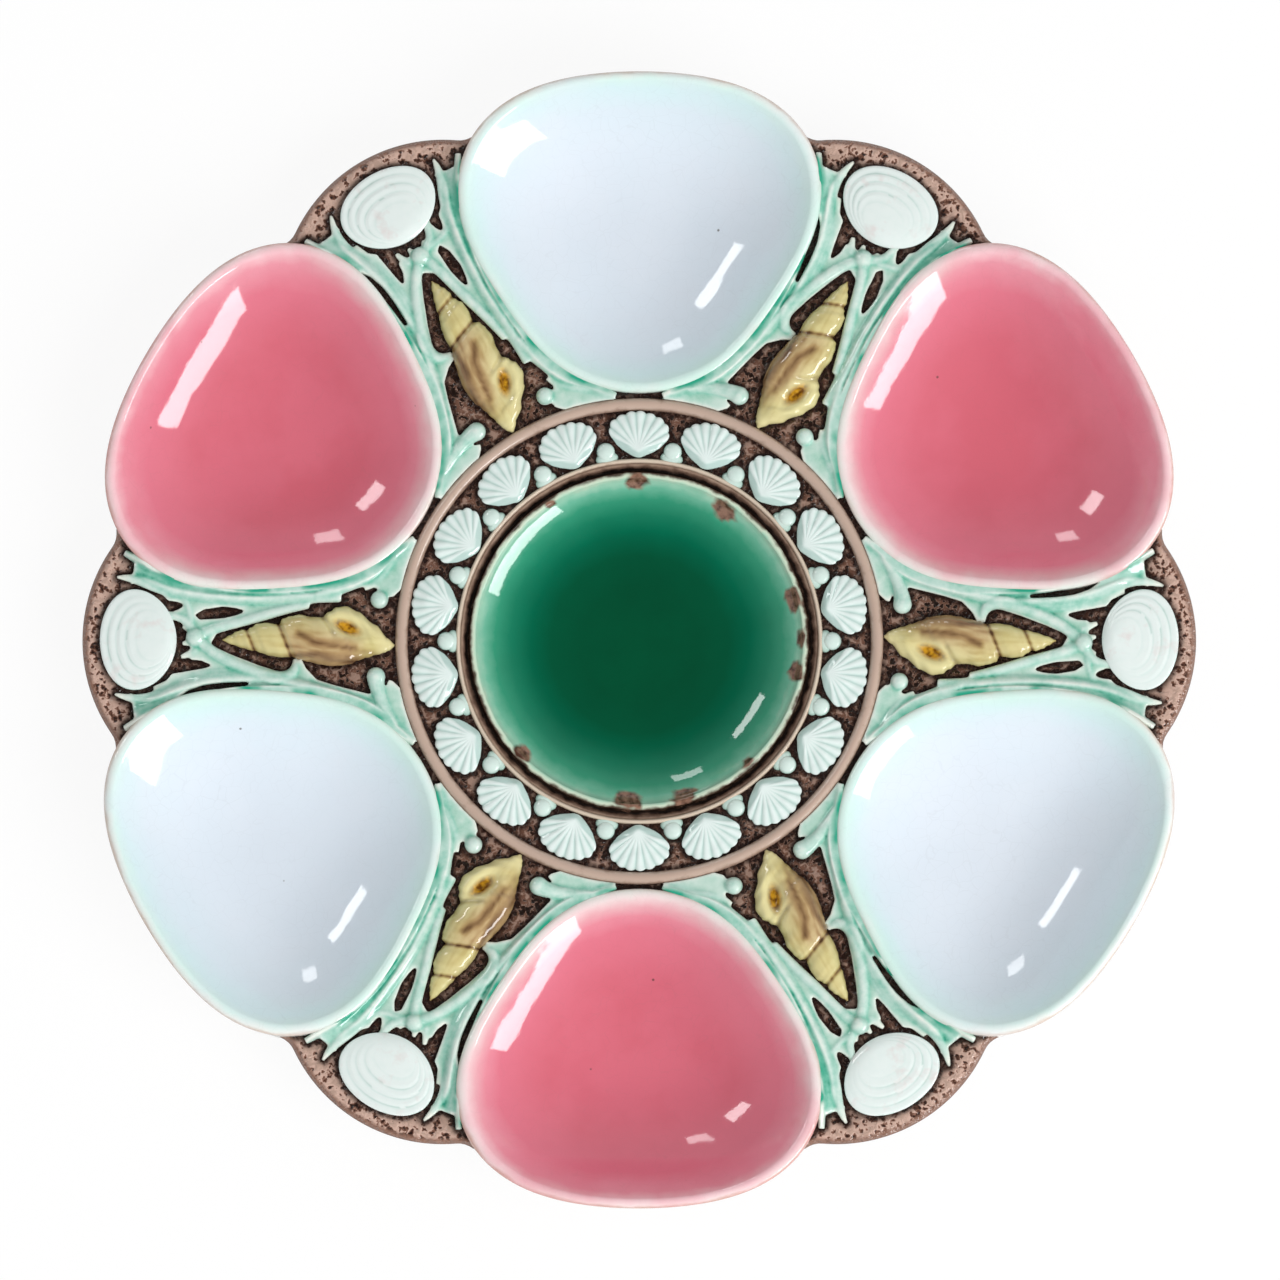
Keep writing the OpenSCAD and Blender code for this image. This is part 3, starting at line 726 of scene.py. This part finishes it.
def buildWhelk():
    bm = bmesh.new()
    bmesh.ops.create_circle(bm, cap_ends=True, segments=whelk["steps"], radius=1,
                            matrix=Matrix.Rotation(radians(90), 4, "Y"))
    edges = bm.edges[:]
    for _ in range(whelk["rows"]):
        pulled = bmesh.ops.extrude_edge_only(bm, edges=edges)["geom"]
        moved = [g for g in pulled if isinstance(g, bmesh.types.BMVert)]
        bmesh.ops.translate(bm, verts=moved, vec=(1, 0, 0))
        edges = [g for g in pulled if isinstance(g, bmesh.types.BMEdge)]
    bmesh.ops.edgeloop_fill(bm, edges=edges)
    amber, shade, pale, body = (newMark(bm, name) for name in ("amber", "shade", "pale", "body"))
    for v in bm.verts:
        along, turn = v.co.x / whelk["rows"], atan2(v.co.z, v.co.y)
        left, right, tall = (between(whelkRows, along, column) for column in (1, 2, 3))
        side = (left + right) / 2 + (right - left) / 2 * cos(turn)
        slant = whelk["slant"] * min(along / whelk["fade"], (1 - along) / whelk["fade"], 1)
        across = side * whelk["wide"] / 2
        radius = plate["bandOuter"] + whelk["clear"] + whelk["long"] * along + across * slant
        height = whelk["height"] * tall * max(sin(turn), 0) ** 0.8
        off = Vector((radius / mm - whelk["mouth"][0], across / mm - whelk["mouth"][1]))
        off.rotate(Matrix.Rotation(-whelk["mouthTurn"], 2))
        reach = hypot(off.x / whelk["mouthReach"][0], off.y / whelk["mouthReach"][1])
        dip = bell(reach)
        lip = bell((reach - whelk["lipRing"]) / whelk["lipWide"])
        lip *= 1 if off.y > whelk["lipBack"] else 0.35
        spot = Vector((across, radius)) / mm
        crease = bell(wayToLine(spot, whelkCreases) / whelk["creaseWide"])
        twist = bell(wayToLine(spot, whelkTwist) / whelk["twistWide"])
        height -= whelk["mouthDeep"] * dip + whelk["creaseDeep"] * (crease + whelk["twistShare"] * twist)
        height = max(height + whelk["lipRise"] * lip * sin(max(turn, 0)), 0)
        if sin(turn) <= 0.02:
            height = -whelk["seat"]
        paleWay = hypot((spot.y - whelk["pale"][0]) / whelk["paleReach"][0],
                        (spot.x - whelk["pale"][1]) / whelk["paleReach"][1])
        innerTip = smoothStep((whelk["paleEnd"] - spot.y) / whelk["paleFade"])
        v[pale] = max(smoothStep(1.6 - paleWay), innerTip)
        v[amber] = dip
        whorl = smoothStep((along - 0.12) / 0.2) * (1 - smoothStep((along - 0.58) / 0.1))
        v[body] = whorl * smoothStep(0.8 - side)
        near = min(abs(along - place) for place in whelk["sutures"])
        # painted shade: the shell's left side is darkened, as if turned away from the light
        shadedSide = smoothStep(-side * 1.6) * (1 - smoothStep((along - 0.6) * 12))
        streak = noise.noise(Vector((across / whelk["streakWide"], along * 5, 0)))
        v[shade] = 0.45 * streak + max(
            0.75 * smoothStep(1 - near / whelk["sutureWide"]), 0.45 * shadedSide,
            1 - smoothStep(height / whelk["foot"]), 0.75 * crease, 0.6 * twist)
        v.co = onGround(radius, -across, height)
    return bm


def whelkGlaze():
    # straw-yellow glaze, browner in the sutures, with painted shade on the shell's left side, and amber in
    # the shell's mouth
    material, tree = glazedMaterial("strawWhelkGlaze", 0.07, 0.5)
    broken = addNode(tree, "Math", {
        0: patternNoise(tree, whelk["patchSize"], 3), 1: 0.4, 2: waysFrom(tree, "shade", 0, 1)},
        operation="MULTIPLY_ADD").outputs[0]
    spire = addNode(tree, "ValToRGB", {0: broken}, [
        (0.15, "d3cb90"), (0.45, "c3b676"), (0.8, "9a8252"), (1.0, "5f472b")]).outputs[0]
    whorl = addNode(tree, "ValToRGB", {0: broken}, [
        (0.15, "c9b386"), (0.45, "ad8f64"), (0.8, "826444"), (1.0, "523826")]).outputs[0]
    patches = addNode(tree, "Math", {
        0: patternNoise(tree, whelk["tanSize"], 3), 1: 0.8, 2: -0.15},
        operation="MULTIPLY_ADD", use_clamp=True).outputs[0]
    tanned = addNode(tree, "Math", {
        0: waysFrom(tree, "body", 0, 1), 1: 0.85, 2: patches},
        operation="MULTIPLY_ADD", use_clamp=True).outputs[0]
    mottled = patternNoise(tree, whelk["amberSize"], 3)
    throat = addNode(tree, "ValToRGB", {0: mottled}, [(0.38, "6e4206"), (0.62, "c99420")]).outputs[0]
    return coloured(material, spire, (tanned, whorl), (waysFrom(tree, "pale", 0, 1.25), "ddd49e"),
                    (waysFrom(tree, "amber", 0.25, 0.75), throat))


strawGlaze, whelkShape = whelkGlaze(), buildWhelk()
for k in range(plate["wells"]):
    addPiece(f"whelk{k + 1}", whelkShape.copy(), strawGlaze, [f"whelk_{k + 1}"],
             plate["pitch"] * k)
print("whelks made")


# Seaweed: fronds as (across, outward, half width) in millimetres, across growing clockwise
seaweed = {
    "voxel": 0.22 * mm, "smooth": 4, "spread": 14, "frondLift": 0.55, "beadLift": 0.5,
    "webTop": 1 * mm, "webLow": 1.1 * mm, "webSunk": 0.3 * mm, "clear": 0.1 * mm,
    "webInner": 51 * mm, "webFoot": 9 * mm, "webOuter": 102.8 * mm,
    "teethFoot": 90.4 * mm, "teethTip": 94 * mm, "teethWide": 4.6 * mm,
    "flankWide": 3.4 * mm, "flankNear": 0.3 * mm, "flankDrop": 0.5 * mm, "flankHeight": 1.4 * mm,
    "flankFrom": 0.25 * mm, "patchSize": 2.4 * mm, "cloudSize": 9 * mm, "rimPatch": 7 * mm}
fronds = {
    "leftFlank": [
        (-20.6, 45.2, 0.9), (-16.6, 51, 1.3), (-13.4, 56.5, 1.4), (-11.4, 62, 1.4), (-10.4, 69, 1.3),
        (-10.2, 76, 1.3), (-10.7, 83, 1.2), (-11.9, 89, 1.1), (-13.8, 95, 1.1), (-16, 100.2, 1.0),
        (-18, 103.6, 0.7)],
    "rightFlank": [
        (20.6, 45.2, 0.9), (16.6, 51, 1.3), (13.5, 56.5, 1.4), (11.7, 62, 1.4), (10.7, 69, 1.3),
        (10.3, 76, 1.3), (10.6, 83, 1.2), (11.6, 89, 1.1), (13.2, 95, 1.1), (15.4, 100, 1.0),
        (17.6, 103.6, 0.7)],
    "leftLeg": [
        (0.3, 89, 1.2), (-2.2, 86.6, 1.2), (-4.7, 82, 1.3), (-6.7, 77, 1.4), (-7.9, 72.6, 1.5),
        (-7.2, 69.8, 1.3), (-5.2, 68.9, 1.0), (-3.6, 69.3, 0.5)],
    "leftLower": [
        (-8, 72, 1.2), (-9, 67, 1.2), (-10.6, 62, 1.2), (-12.2, 57, 1.3), (-14.2, 52.8, 1.3),
        (-17, 49.6, 1.2), (-19.2, 47.8, 0.8)],
    "leftFoot": [
        (-17, 49.2, 1.0), (-13.6, 51.2, 1.2), (-10.6, 52.7, 1.4), (-7.6, 53.1, 1.9), (-7.2, 53.1, 1.7)],
    "leftOuter": [
        (-7.5, 76, 1.1), (-7.2, 82, 1.3), (-7.7, 88, 1.3), (-9.6, 93, 1.2), (-11.6, 97.6, 1.1),
        (-12.3, 101.4, 1.1), (-10.9, 105.6, 0.4)],
    "leftInner": [(-6.2, 80, 0.9), (-6.3, 85.5, 1.0), (-7.2, 90, 0.9), (-8.4, 94, 0.8), (-9.8, 97.8, 0.5)],
    "rightOuter": [
        (8.8, 60, 1.1), (8.7, 66, 1.2), (8.2, 72, 1.2), (7.9, 77.5, 1.1), (8.2, 83, 1.1),
        (8.6, 88, 1.1), (9.3, 93, 1.1), (10.8, 98, 1.2), (12.6, 101.6, 1.1), (12.7, 105.2, 0.4)],
    "rightLower": [(8.8, 65, 1.2), (10.4, 60, 1.2), (12.4, 55.3, 1.3), (15.2, 51.3, 1.2), (18.8, 48, 0.8)],
    "rightInner": [
        (1, 88.8, 1.2), (2.4, 85.8, 1.2), (3.5, 81, 1.1), (4.8, 76.4, 1.2), (6.3, 71.5, 1.1),
        (7.4, 66.5, 1.0)],
    "rightCross": [(1.2, 89.6, 1.1), (3.8, 90.5, 1.1), (5.1, 93, 0.9), (5, 96, 0.8), (6.4, 98.6, 0.9)],
    "rightBridge": [(3.6, 90.3, 1.0), (6, 90.2, 0.9), (8.4, 91.6, 0.9)],
    "rightFoot": [(17, 49.2, 0.9), (13.6, 50.9, 1.0), (11.4, 53, 0.9), (10.6, 55.4, 0.6)],
    "stubLeft": [(-2, 89, 0.9), (-3, 90.8, 0.8), (-3.4, 92.3, 0.5)],
    "stubMiddle": [(-0.4, 89.8, 0.8), (-0.7, 92, 0.5)],
    "stubRight": [(1.8, 89.8, 0.8), (2.8, 91.9, 0.5)],
}
beads = [(0.6, 89.4, 1.9), (8.3, 52.4, 1.75), (-7.3, 53, 1.95)]


def spokePoint(across, outward, lift):
    place = Vector((outward * mm, -across * mm, 0))
    place.z = groundTop(place.length) + lift
    return place


def frondMesh():
    # every frond is one stretch of a tapering curve, laid on the ground
    line = bpy.data.curves.new("fronds", "CURVE")
    line.dimensions, line.resolution_u, line.bevel_resolution = "3D", 6, 3
    line.bevel_depth, line.use_fill_caps = 1 * mm, True
    for points in fronds.values():
        spline = line.splines.new("NURBS")
        spline.points.add(len(points) - 1)
        spline.order_u, spline.use_endpoint_u = min(4, len(points)), True
        for point, (across, outward, width) in zip(spline.points, points):
            point.co = (*spokePoint(across, outward, width * seaweed["frondLift"] * mm), 1)
            point.radius = width
    return bakedMesh(addObject("fronds", line))


def buildSeaweed():
    bm = bmesh.new()
    bm.from_mesh(frame["nodes"]["seaweed_1"].data)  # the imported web, thinned, lies under the fronds
    bmesh.ops.remove_doubles(bm, verts=bm.verts, dist=weld)
    for v in bm.verts:
        reach = v.co.xy.length
        onTop = v.co.z > groundTop(reach) + seaweed["webTop"]
        v.co.z -= seaweed["webLow"] if onTop else seaweed["webSunk"]
        if reach < seaweed["webInner"] and abs(v.co.y) > seaweed["webFoot"]:
            v.co.xy *= (plate["bandOuter"] - seaweed["clear"]) / reach
        elif reach > seaweed["webOuter"]:
            v.co.xy *= seaweed["webOuter"] / reach
        elif abs(v.co.y) < seaweed["teethWide"] and seaweed["teethFoot"] < reach < seaweed["teethTip"]:
            v.co.xy *= seaweed["teethFoot"] / reach
    bm.from_mesh(frondMesh())
    for across, outward, radius in beads:
        place = spokePoint(across, outward, seaweed["beadLift"] * radius * mm)
        bmesh.ops.create_icosphere(bm, subdivisions=3, radius=radius * mm, matrix=Matrix.Translation(place))
    rough = addObject("seaweedRough", meshFrom("seaweedRough", bm))
    remesh = rough.modifiers.new("clay", "REMESH")
    remesh.mode, remesh.voxel_size = "VOXEL", seaweed["voxel"]
    return bakedMesh(rough)


def neighbourMean(values, pairs, count, rounds):
    # evens a value out over the mesh: each point takes the mean of itself and its neighbours
    for _ in range(rounds):
        total = values.copy()
        np.add.at(total, pairs[:, 0], values[pairs[:, 1]])
        np.add.at(total, pairs[:, 1], values[pairs[:, 0]])
        values = total / (count if values.ndim == 1 else count[:, None])
    return values


def finishSeaweed(solid):
    # smooths the clay, draws it up to the wells' rims and notes where the glaze pools
    points = meshPoints(solid).astype(float)
    pairs = np.empty(len(solid.edges) * 2, np.int32)
    solid.edges.foreach_get("vertices", pairs)
    pairs = pairs.reshape(-1, 2)
    count = 1 + np.bincount(pairs.ravel(), minlength=len(points)).astype(float)
    points = neighbourMean(points, pairs, count, seaweed["smooth"])
    base = groundTop(np.hypot(points[:, 0], points[:, 1]))
    height = points[:, 2] - base
    gap, crest = wellGaps(points)
    near = np.clip(1 - (gap + seaweed["flankNear"]) / seaweed["flankWide"], 0, 1)
    near = near * near * (3 - 2 * near)
    crest = crest - seaweed["flankDrop"] - base
    raised = height * (1 + near * (crest / seaweed["flankHeight"] - 1))
    raised = np.minimum(raised, np.maximum(crest, height * 0.6))
    height = np.where((height > seaweed["flankFrom"]) & (near > 0), raised, height)
    points[:, 2] = base + height
    pooled = neighbourMean(height, pairs, count, seaweed["spread"]) - height
    solid.vertices.foreach_set("co", points.astype(np.float32).ravel())
    for name, values in (("lift", height / mm), ("pool", pooled / mm), ("rimGap", gap / mm)):
        solid.attributes.new(name, "FLOAT", "POINT").data.foreach_set("value", values.astype(np.float32))
    solid.shade_smooth()
    return solid


def weedGlaze():
    # mint glaze: pale where it thins on the fronds' backs, teal where it has pooled between them
    material, tree = glazedMaterial("mintSeaweedGlaze", 0.07, 0.55)
    broken = addNode(tree, "Math", {
        0: patternNoise(tree, seaweed["patchSize"], 4, 0.6), 1: 0.5,
        2: waysFrom(tree, "pool", -0.27, 0.31)}, operation="MULTIPLY_ADD").outputs[0]
    colour = addNode(tree, "ValToRGB", {0: broken}, [
        (0.4, "e3e8df"), (0.56, "c6dcd2"), (0.72, "a0cbbc"), (0.87, "70b7a0"), (1.0, "2a8a72")]).outputs[0]
    clouds = addNode(tree, "MapRange", {
        0: patternNoise(tree, seaweed["cloudSize"], 3), 1: 0.45, 2: 0.7, 3: 0, 4: 0.5}).outputs[0]
    rimPatches = addNode(tree, "MapRange", {
        0: patternNoise(tree, seaweed["rimPatch"], 2), 1: 0.42, 2: 0.6}).outputs[0]
    rimSide = addNode(tree, "Math", {
        0: waysFrom(tree, "rimGap", 1.3, 0.2), 1: rimPatches}, operation="MULTIPLY").outputs[0]
    lowEdge = addNode(tree, "Math", {
        0: waysFrom(tree, "lift", 1.25, 0.8), 1: 0.55}, operation="MULTIPLY").outputs[0]
    return coloured(material, colour, (clouds, "cbdcd5"), (rimSide, "2f9f82"), (lowEdge, "ece9dc"),
                    (waysFrom(tree, "lift", 0.7, 0.2), "33211a"))


mintGlaze = weedGlaze()
seaweedMesh = finishSeaweed(buildSeaweed())
for k in range(plate["wells"]):
    turned = seaweedMesh.copy()
    turned.transform(Matrix.Rotation(plate["pitch"] * k, 4, "Z"))
    placePiece(f"seaweed{k + 1}", turned, mintGlaze, [f"seaweed_{k + 1}"])
print("seaweed made,", len(seaweedMesh.polygons), "faces each")


# The ground: stippled brown web between the wells, cream underneath
ground = {
    "steps": 720, "rows": 110, "overlap": 1.6 * mm, "edgeRound": 1.6 * mm, "edgeDrop": 1.1 * mm,
    "bare": radians(22), "fillet": 4 * mm, "filletEnd": radians(12), "filletFall": 60 * mm,
    "wallSunk": 0.4 * mm, "rough": [(0.12 * mm, 2.4 * mm), (0.1 * mm, 1.2 * mm)], "thinner": 1 * mm,
    "footLow": -0.35 * mm, "footHigh": 1.1 * mm, "underneath": 2 * mm, "underWay": -3,
    "bendSize": 1.1 * mm, "bend": 1.9 * mm, "pitSize": 1.25 * mm, "pitDeep": 0.45 * mm,
    "patchSize": 3.2 * mm, "poolPatch": 1.6 * mm}
rimX, rimY = wellRim(np.linspace(0, radians(75), 120))
rimOff, rimReach = np.arctan2(rimY, rimX + wellMid), np.hypot(rimX + wellMid, rimY)


def lobeEdge(angle):
    # the lobe's round edge, run into the well's outer wall with a small fillet
    off = (angle + plate["pitch"] / 2) % plate["pitch"] - plate["pitch"] / 2
    off = min(abs(off), ground["bare"])
    middle = plate["lobeReach"] - plate["lobeRadius"]
    lobe = middle * cos(off) + sqrt(plate["lobeRadius"] ** 2 - (middle * sin(off)) ** 2)
    wall = np.interp(plate["pitch"] / 2 - off, rimOff, rimReach) - ground["wallSunk"]
    wall -= ground["filletFall"] * max(0, off - ground["filletEnd"])
    blend = max(0, ground["fillet"] - abs(lobe - wall)) / ground["fillet"]
    return max(lobe, wall) + ground["fillet"] * blend * blend / 4


def reliefTree():
    # the feet of all that stands on the ground
    feet = []
    standing = ("scallop", "pearls", "clam", "whelk", "seaweed", "innerRim", "ringBand")
    for piece in bpy.context.scene.objects:
        if piece.name.startswith(standing) and "_" not in piece.name:  # the frame's own have underscores
            points = meshPoints(piece.data)
            over = points[:, 2] - groundTop(np.hypot(points[:, 0], points[:, 1]))
            feet.append(points[(over > ground["footLow"]) & (over < ground["footHigh"])])
    feet = np.concatenate(feet)
    tree = KDTree(len(feet))
    for i, point in enumerate(feet):
        tree.insert(point, i)
    tree.balance()
    return tree


def buildGround():
    bm = bmesh.new()
    bmesh.ops.create_grid(bm, x_segments=ground["steps"], y_segments=ground["rows"], size=0.5)
    edgeWay = newMark(bm, "edgeWay")
    for v in bm.verts:
        angle, share = tau * v.co.x, v.co.y + 0.5
        edge = lobeEdge(angle)
        radius = plate["sauceEdge"] + (edge - plate["sauceEdge"]) * share
        way = edge - radius
        v[edgeWay] = way / mm
        drop = max(0, 1 - way / ground["edgeRound"])
        place = Vector((radius * cos(angle), radius * sin(angle), 0))
        rough = sum(deep * noise.noise(place / size) for deep, size in ground["rough"])
        rough *= min(1, way / ground["edgeRound"])
        place.z = groundTop(radius) - ground["edgeDrop"] * drop * drop + rough
        v.co = place
    bmesh.ops.remove_doubles(bm, verts=bm.verts, dist=weld)
    gaps = wellGaps(np.array([f.calc_center_median() for f in bm.faces]))[0]
    hidden = [f for f, gap in zip(bm.faces, gaps) if gap < -ground["overlap"]]
    bmesh.ops.delete(bm, geom=hidden, context="FACES")
    bmesh.ops.recalc_face_normals(bm, faces=bm.faces)
    if sum(f.normal.z for f in bm.faces) < 0:
        bmesh.ops.reverse_faces(bm, faces=bm.faces)
    bmesh.ops.solidify(bm, geom=bm.faces[:], thickness=plate["clay"] - ground["thinner"])
    tree = reliefTree()
    # the way to the nearest relief foot; the glaze darkens the ground there, as pooled glaze and as painted
    # shade
    pool = newMark(bm, "pool")
    gaps = wellGaps(np.array([v.co for v in bm.verts]))[0]
    for v, gap in zip(bm.verts, gaps):
        v[pool] = min(tree.find(v.co)[2], max(gap, 0)) / mm
        if overGround(v.co) < -ground["underneath"]:
            v[edgeWay] = ground["underWay"]
    return bm


def groundGlaze():
    # manganese-brown glaze over a punched ground: dark in the pits and worn tan on the points, with painted
    # highlights on the highest points and, round the relief's feet, pooled glaze deepened with painted
    # shade
    material, tree = glazedMaterial("stippledBrownGlaze", 0.14, 0.2)
    pits = addNode(tree, "TexVoronoi", {
        "Vector": bentPlace(tree, ground["bendSize"], ground["bend"]), "Scale": 1 / ground["pitSize"],
        "Smoothness": 0.3}, feature="SMOOTH_F1").outputs["Distance"]
    mixed = addNode(tree, "Math", {
        0: patternNoise(tree, ground["patchSize"], 5, 0.7), 1: 1.1, 2: pits},
        operation="MULTIPLY_ADD").outputs[0]
    deep = addNode(tree, "ValToRGB", {0: mixed}, [
        (0.78, "1f120c"), (0.95, "3a241b"), (1.08, "6a4a3c"), (1.24, "bd9f90")]).outputs[0]
    worn = addNode(tree, "ValToRGB", {0: mixed}, [
        (0.68, "24130e"), (0.84, "5b3c30"), (0.98, "8c6757"), (1.16, "c8a899")]).outputs[0]
    colour = addNode(tree, "Mix", {
        0: waysFrom(tree, "edgeWay", 9, 2.5), 6: deep, 7: worn}, data_type="RGBA").outputs[2]
    # brown glaze pooled round the relief's feet in patches, with painted shade there as well
    poolPatches = addNode(tree, "MapRange", {
        0: patternNoise(tree, ground["poolPatch"], 3, 0.65), 1: 0.72, 2: 0.5, 3: 0.25}).outputs[0]
    pooled = addNode(tree, "Math", {
        0: waysFrom(tree, "pool", 1.5, 0.3), 1: poolPatches}, operation="MULTIPLY").outputs[0]
    # painted highlights: pale glints on the stipple's highest points
    paintedGlints = addNode(tree, "MapRange", {0: mixed, 1: 1.18, 2: 1.3, 3: 0, 4: 0.6}).outputs[0]
    # painted shade: a dark ring close round the relief's feet
    shadeHalo = addNode(tree, "Math", {
        0: waysFrom(tree, "pool", 1.1, 0.4), 1: 0.8}, operation="MULTIPLY").outputs[0]
    rim, underneath = waysFrom(tree, "edgeWay", 1.4, 0.7), waysFrom(tree, "edgeWay", -0.5, -2)
    punched = addNode(tree, "Bump", {
        "Strength": waysFrom(tree, "edgeWay", -2, -0.5), "Distance": ground["pitDeep"], "Height": pits,
        "Normal": tree.nodes["Bump"].outputs["Normal"]})
    tree.links.new(punched.outputs["Normal"], tree.nodes["Principled BSDF"].inputs["Normal"])
    return coloured(material, colour, (pooled, "25130e"), (paintedGlints, "ab8f80"), (shadeHalo, "25130e"),
                    (rim, "886555"), (underneath, "e4dccb"))


addPiece("stippledGround", buildGround(), groundGlaze(), ["plate_ground"])
print("ground made")


# Floor, world and lamps
stage = {
    "floorSize": 3, "floorLow": 0.05 * mm, "floorColour": "f4f4f4", "floorWhite": 0.9,
    "soft": 0.6, "walls": 0.5, "ceiling": 0.05, "wallTop": 0.35, "ceilingFrom": 0.8}


def addFloor():
    # a plain pale table, seen through from underneath so that the plate's foot can be looked at
    bm = bmesh.new()
    bmesh.ops.create_grid(bm, x_segments=1, y_segments=1, size=stage["floorSize"])
    floor = addObject("floor", meshFrom("floor", bm))
    floor.location.z = -stage["floorLow"]
    material = bpy.data.materials.new("paleTable")
    material.use_nodes = True
    tree = material.node_tree
    diffuse = addNode(tree, "BsdfDiffuse", {"Color": hexColour(stage["floorColour"])})
    white = addNode(tree, "Emission", {"Color": hexColour("ffffff"), "Strength": 1.0})
    ray = addNode(tree, "LightPath").outputs["Is Camera Ray"]
    seen = addNode(tree, "Math", {0: ray, 1: stage["floorWhite"]}, operation="MULTIPLY").outputs[0]
    mixed = addNode(tree, "MixShader", {0: seen, 1: diffuse.outputs[0], 2: white.outputs[0]})
    oneWay = addNode(tree, "MixShader", {
        0: addNode(tree, "NewGeometry").outputs["Backfacing"], 1: mixed.outputs[0],
        2: addNode(tree, "BsdfTransparent").outputs[0]})
    tree.links.new(oneWay.outputs[0], tree.nodes["Material Output"].inputs["Surface"])
    floor.data.materials.append(material)


def addWorld():
    # a white studio with a darker ceiling, which the glaze mirrors; the camera sees plain white
    world = bpy.data.worlds.new("studio")
    bpy.context.scene.world = world
    world.use_nodes = True
    tree = world.node_tree
    back = tree.nodes["Background"]
    path = addNode(tree, "LightPath").outputs
    way = addNode(tree, "SeparateXYZ", {
        "Vector": addNode(tree, "TexCoord").outputs["Generated"]}).outputs["Z"]
    mirrored = addNode(tree, "MapRange", {
        0: way, 1: stage["wallTop"], 2: stage["ceilingFrom"], 3: stage["walls"],
        4: stage["ceiling"]}).outputs[0]
    soft = addNode(tree, "Mix", {0: path["Is Glossy Ray"], 2: stage["soft"], 3: mirrored}).outputs[0]
    seen = addNode(tree, "Math", {
        0: path["Is Camera Ray"], 1: path["Is Transmission Ray"]},
        operation="ADD", use_clamp=True).outputs[0]
    strength = addNode(tree, "Mix", {0: seen, 2: soft, 3: 1.0}).outputs[0]
    tree.links.new(strength, back.inputs["Strength"])
    back.inputs["Color"].default_value = hexColour("ffffff")


lamps = {  # name: azimuth, elevation, distance, width, height, brightness, only mirrored in the glaze
    "rightWindow": (-35, 8.5, 1.5, 1.15, 0.42, 11, True),
    "leftWindow": (141, 28, 1.6, 0.5, 0.2, 9, True),
    "topWindow": (108, 18, 1.6, 0.3, 0.2, 6, True),
    "brightWall": (-42, 48, 2.2, 1.5, 1.5, 5.4, False),
}


def addLamp(name, azimuth, elevation, distance, width, height, brightness, mirrored):
    lamp = bpy.data.lights.new(name, "AREA")
    lamp.shape, lamp.size, lamp.size_y = "RECTANGLE", width, height
    lamp.energy = brightness * pi * width * height
    holder = addObject(name, lamp)
    holder.visible_glossy, holder.visible_diffuse = mirrored, not mirrored
    aimAt(holder, Vector(), distance, azimuth, elevation)


addFloor()
addWorld()
for name, values in lamps.items():
    addLamp(name, *values)
bpy.context.scene.view_settings.view_transform = "Standard"
print("stage and lamps made")
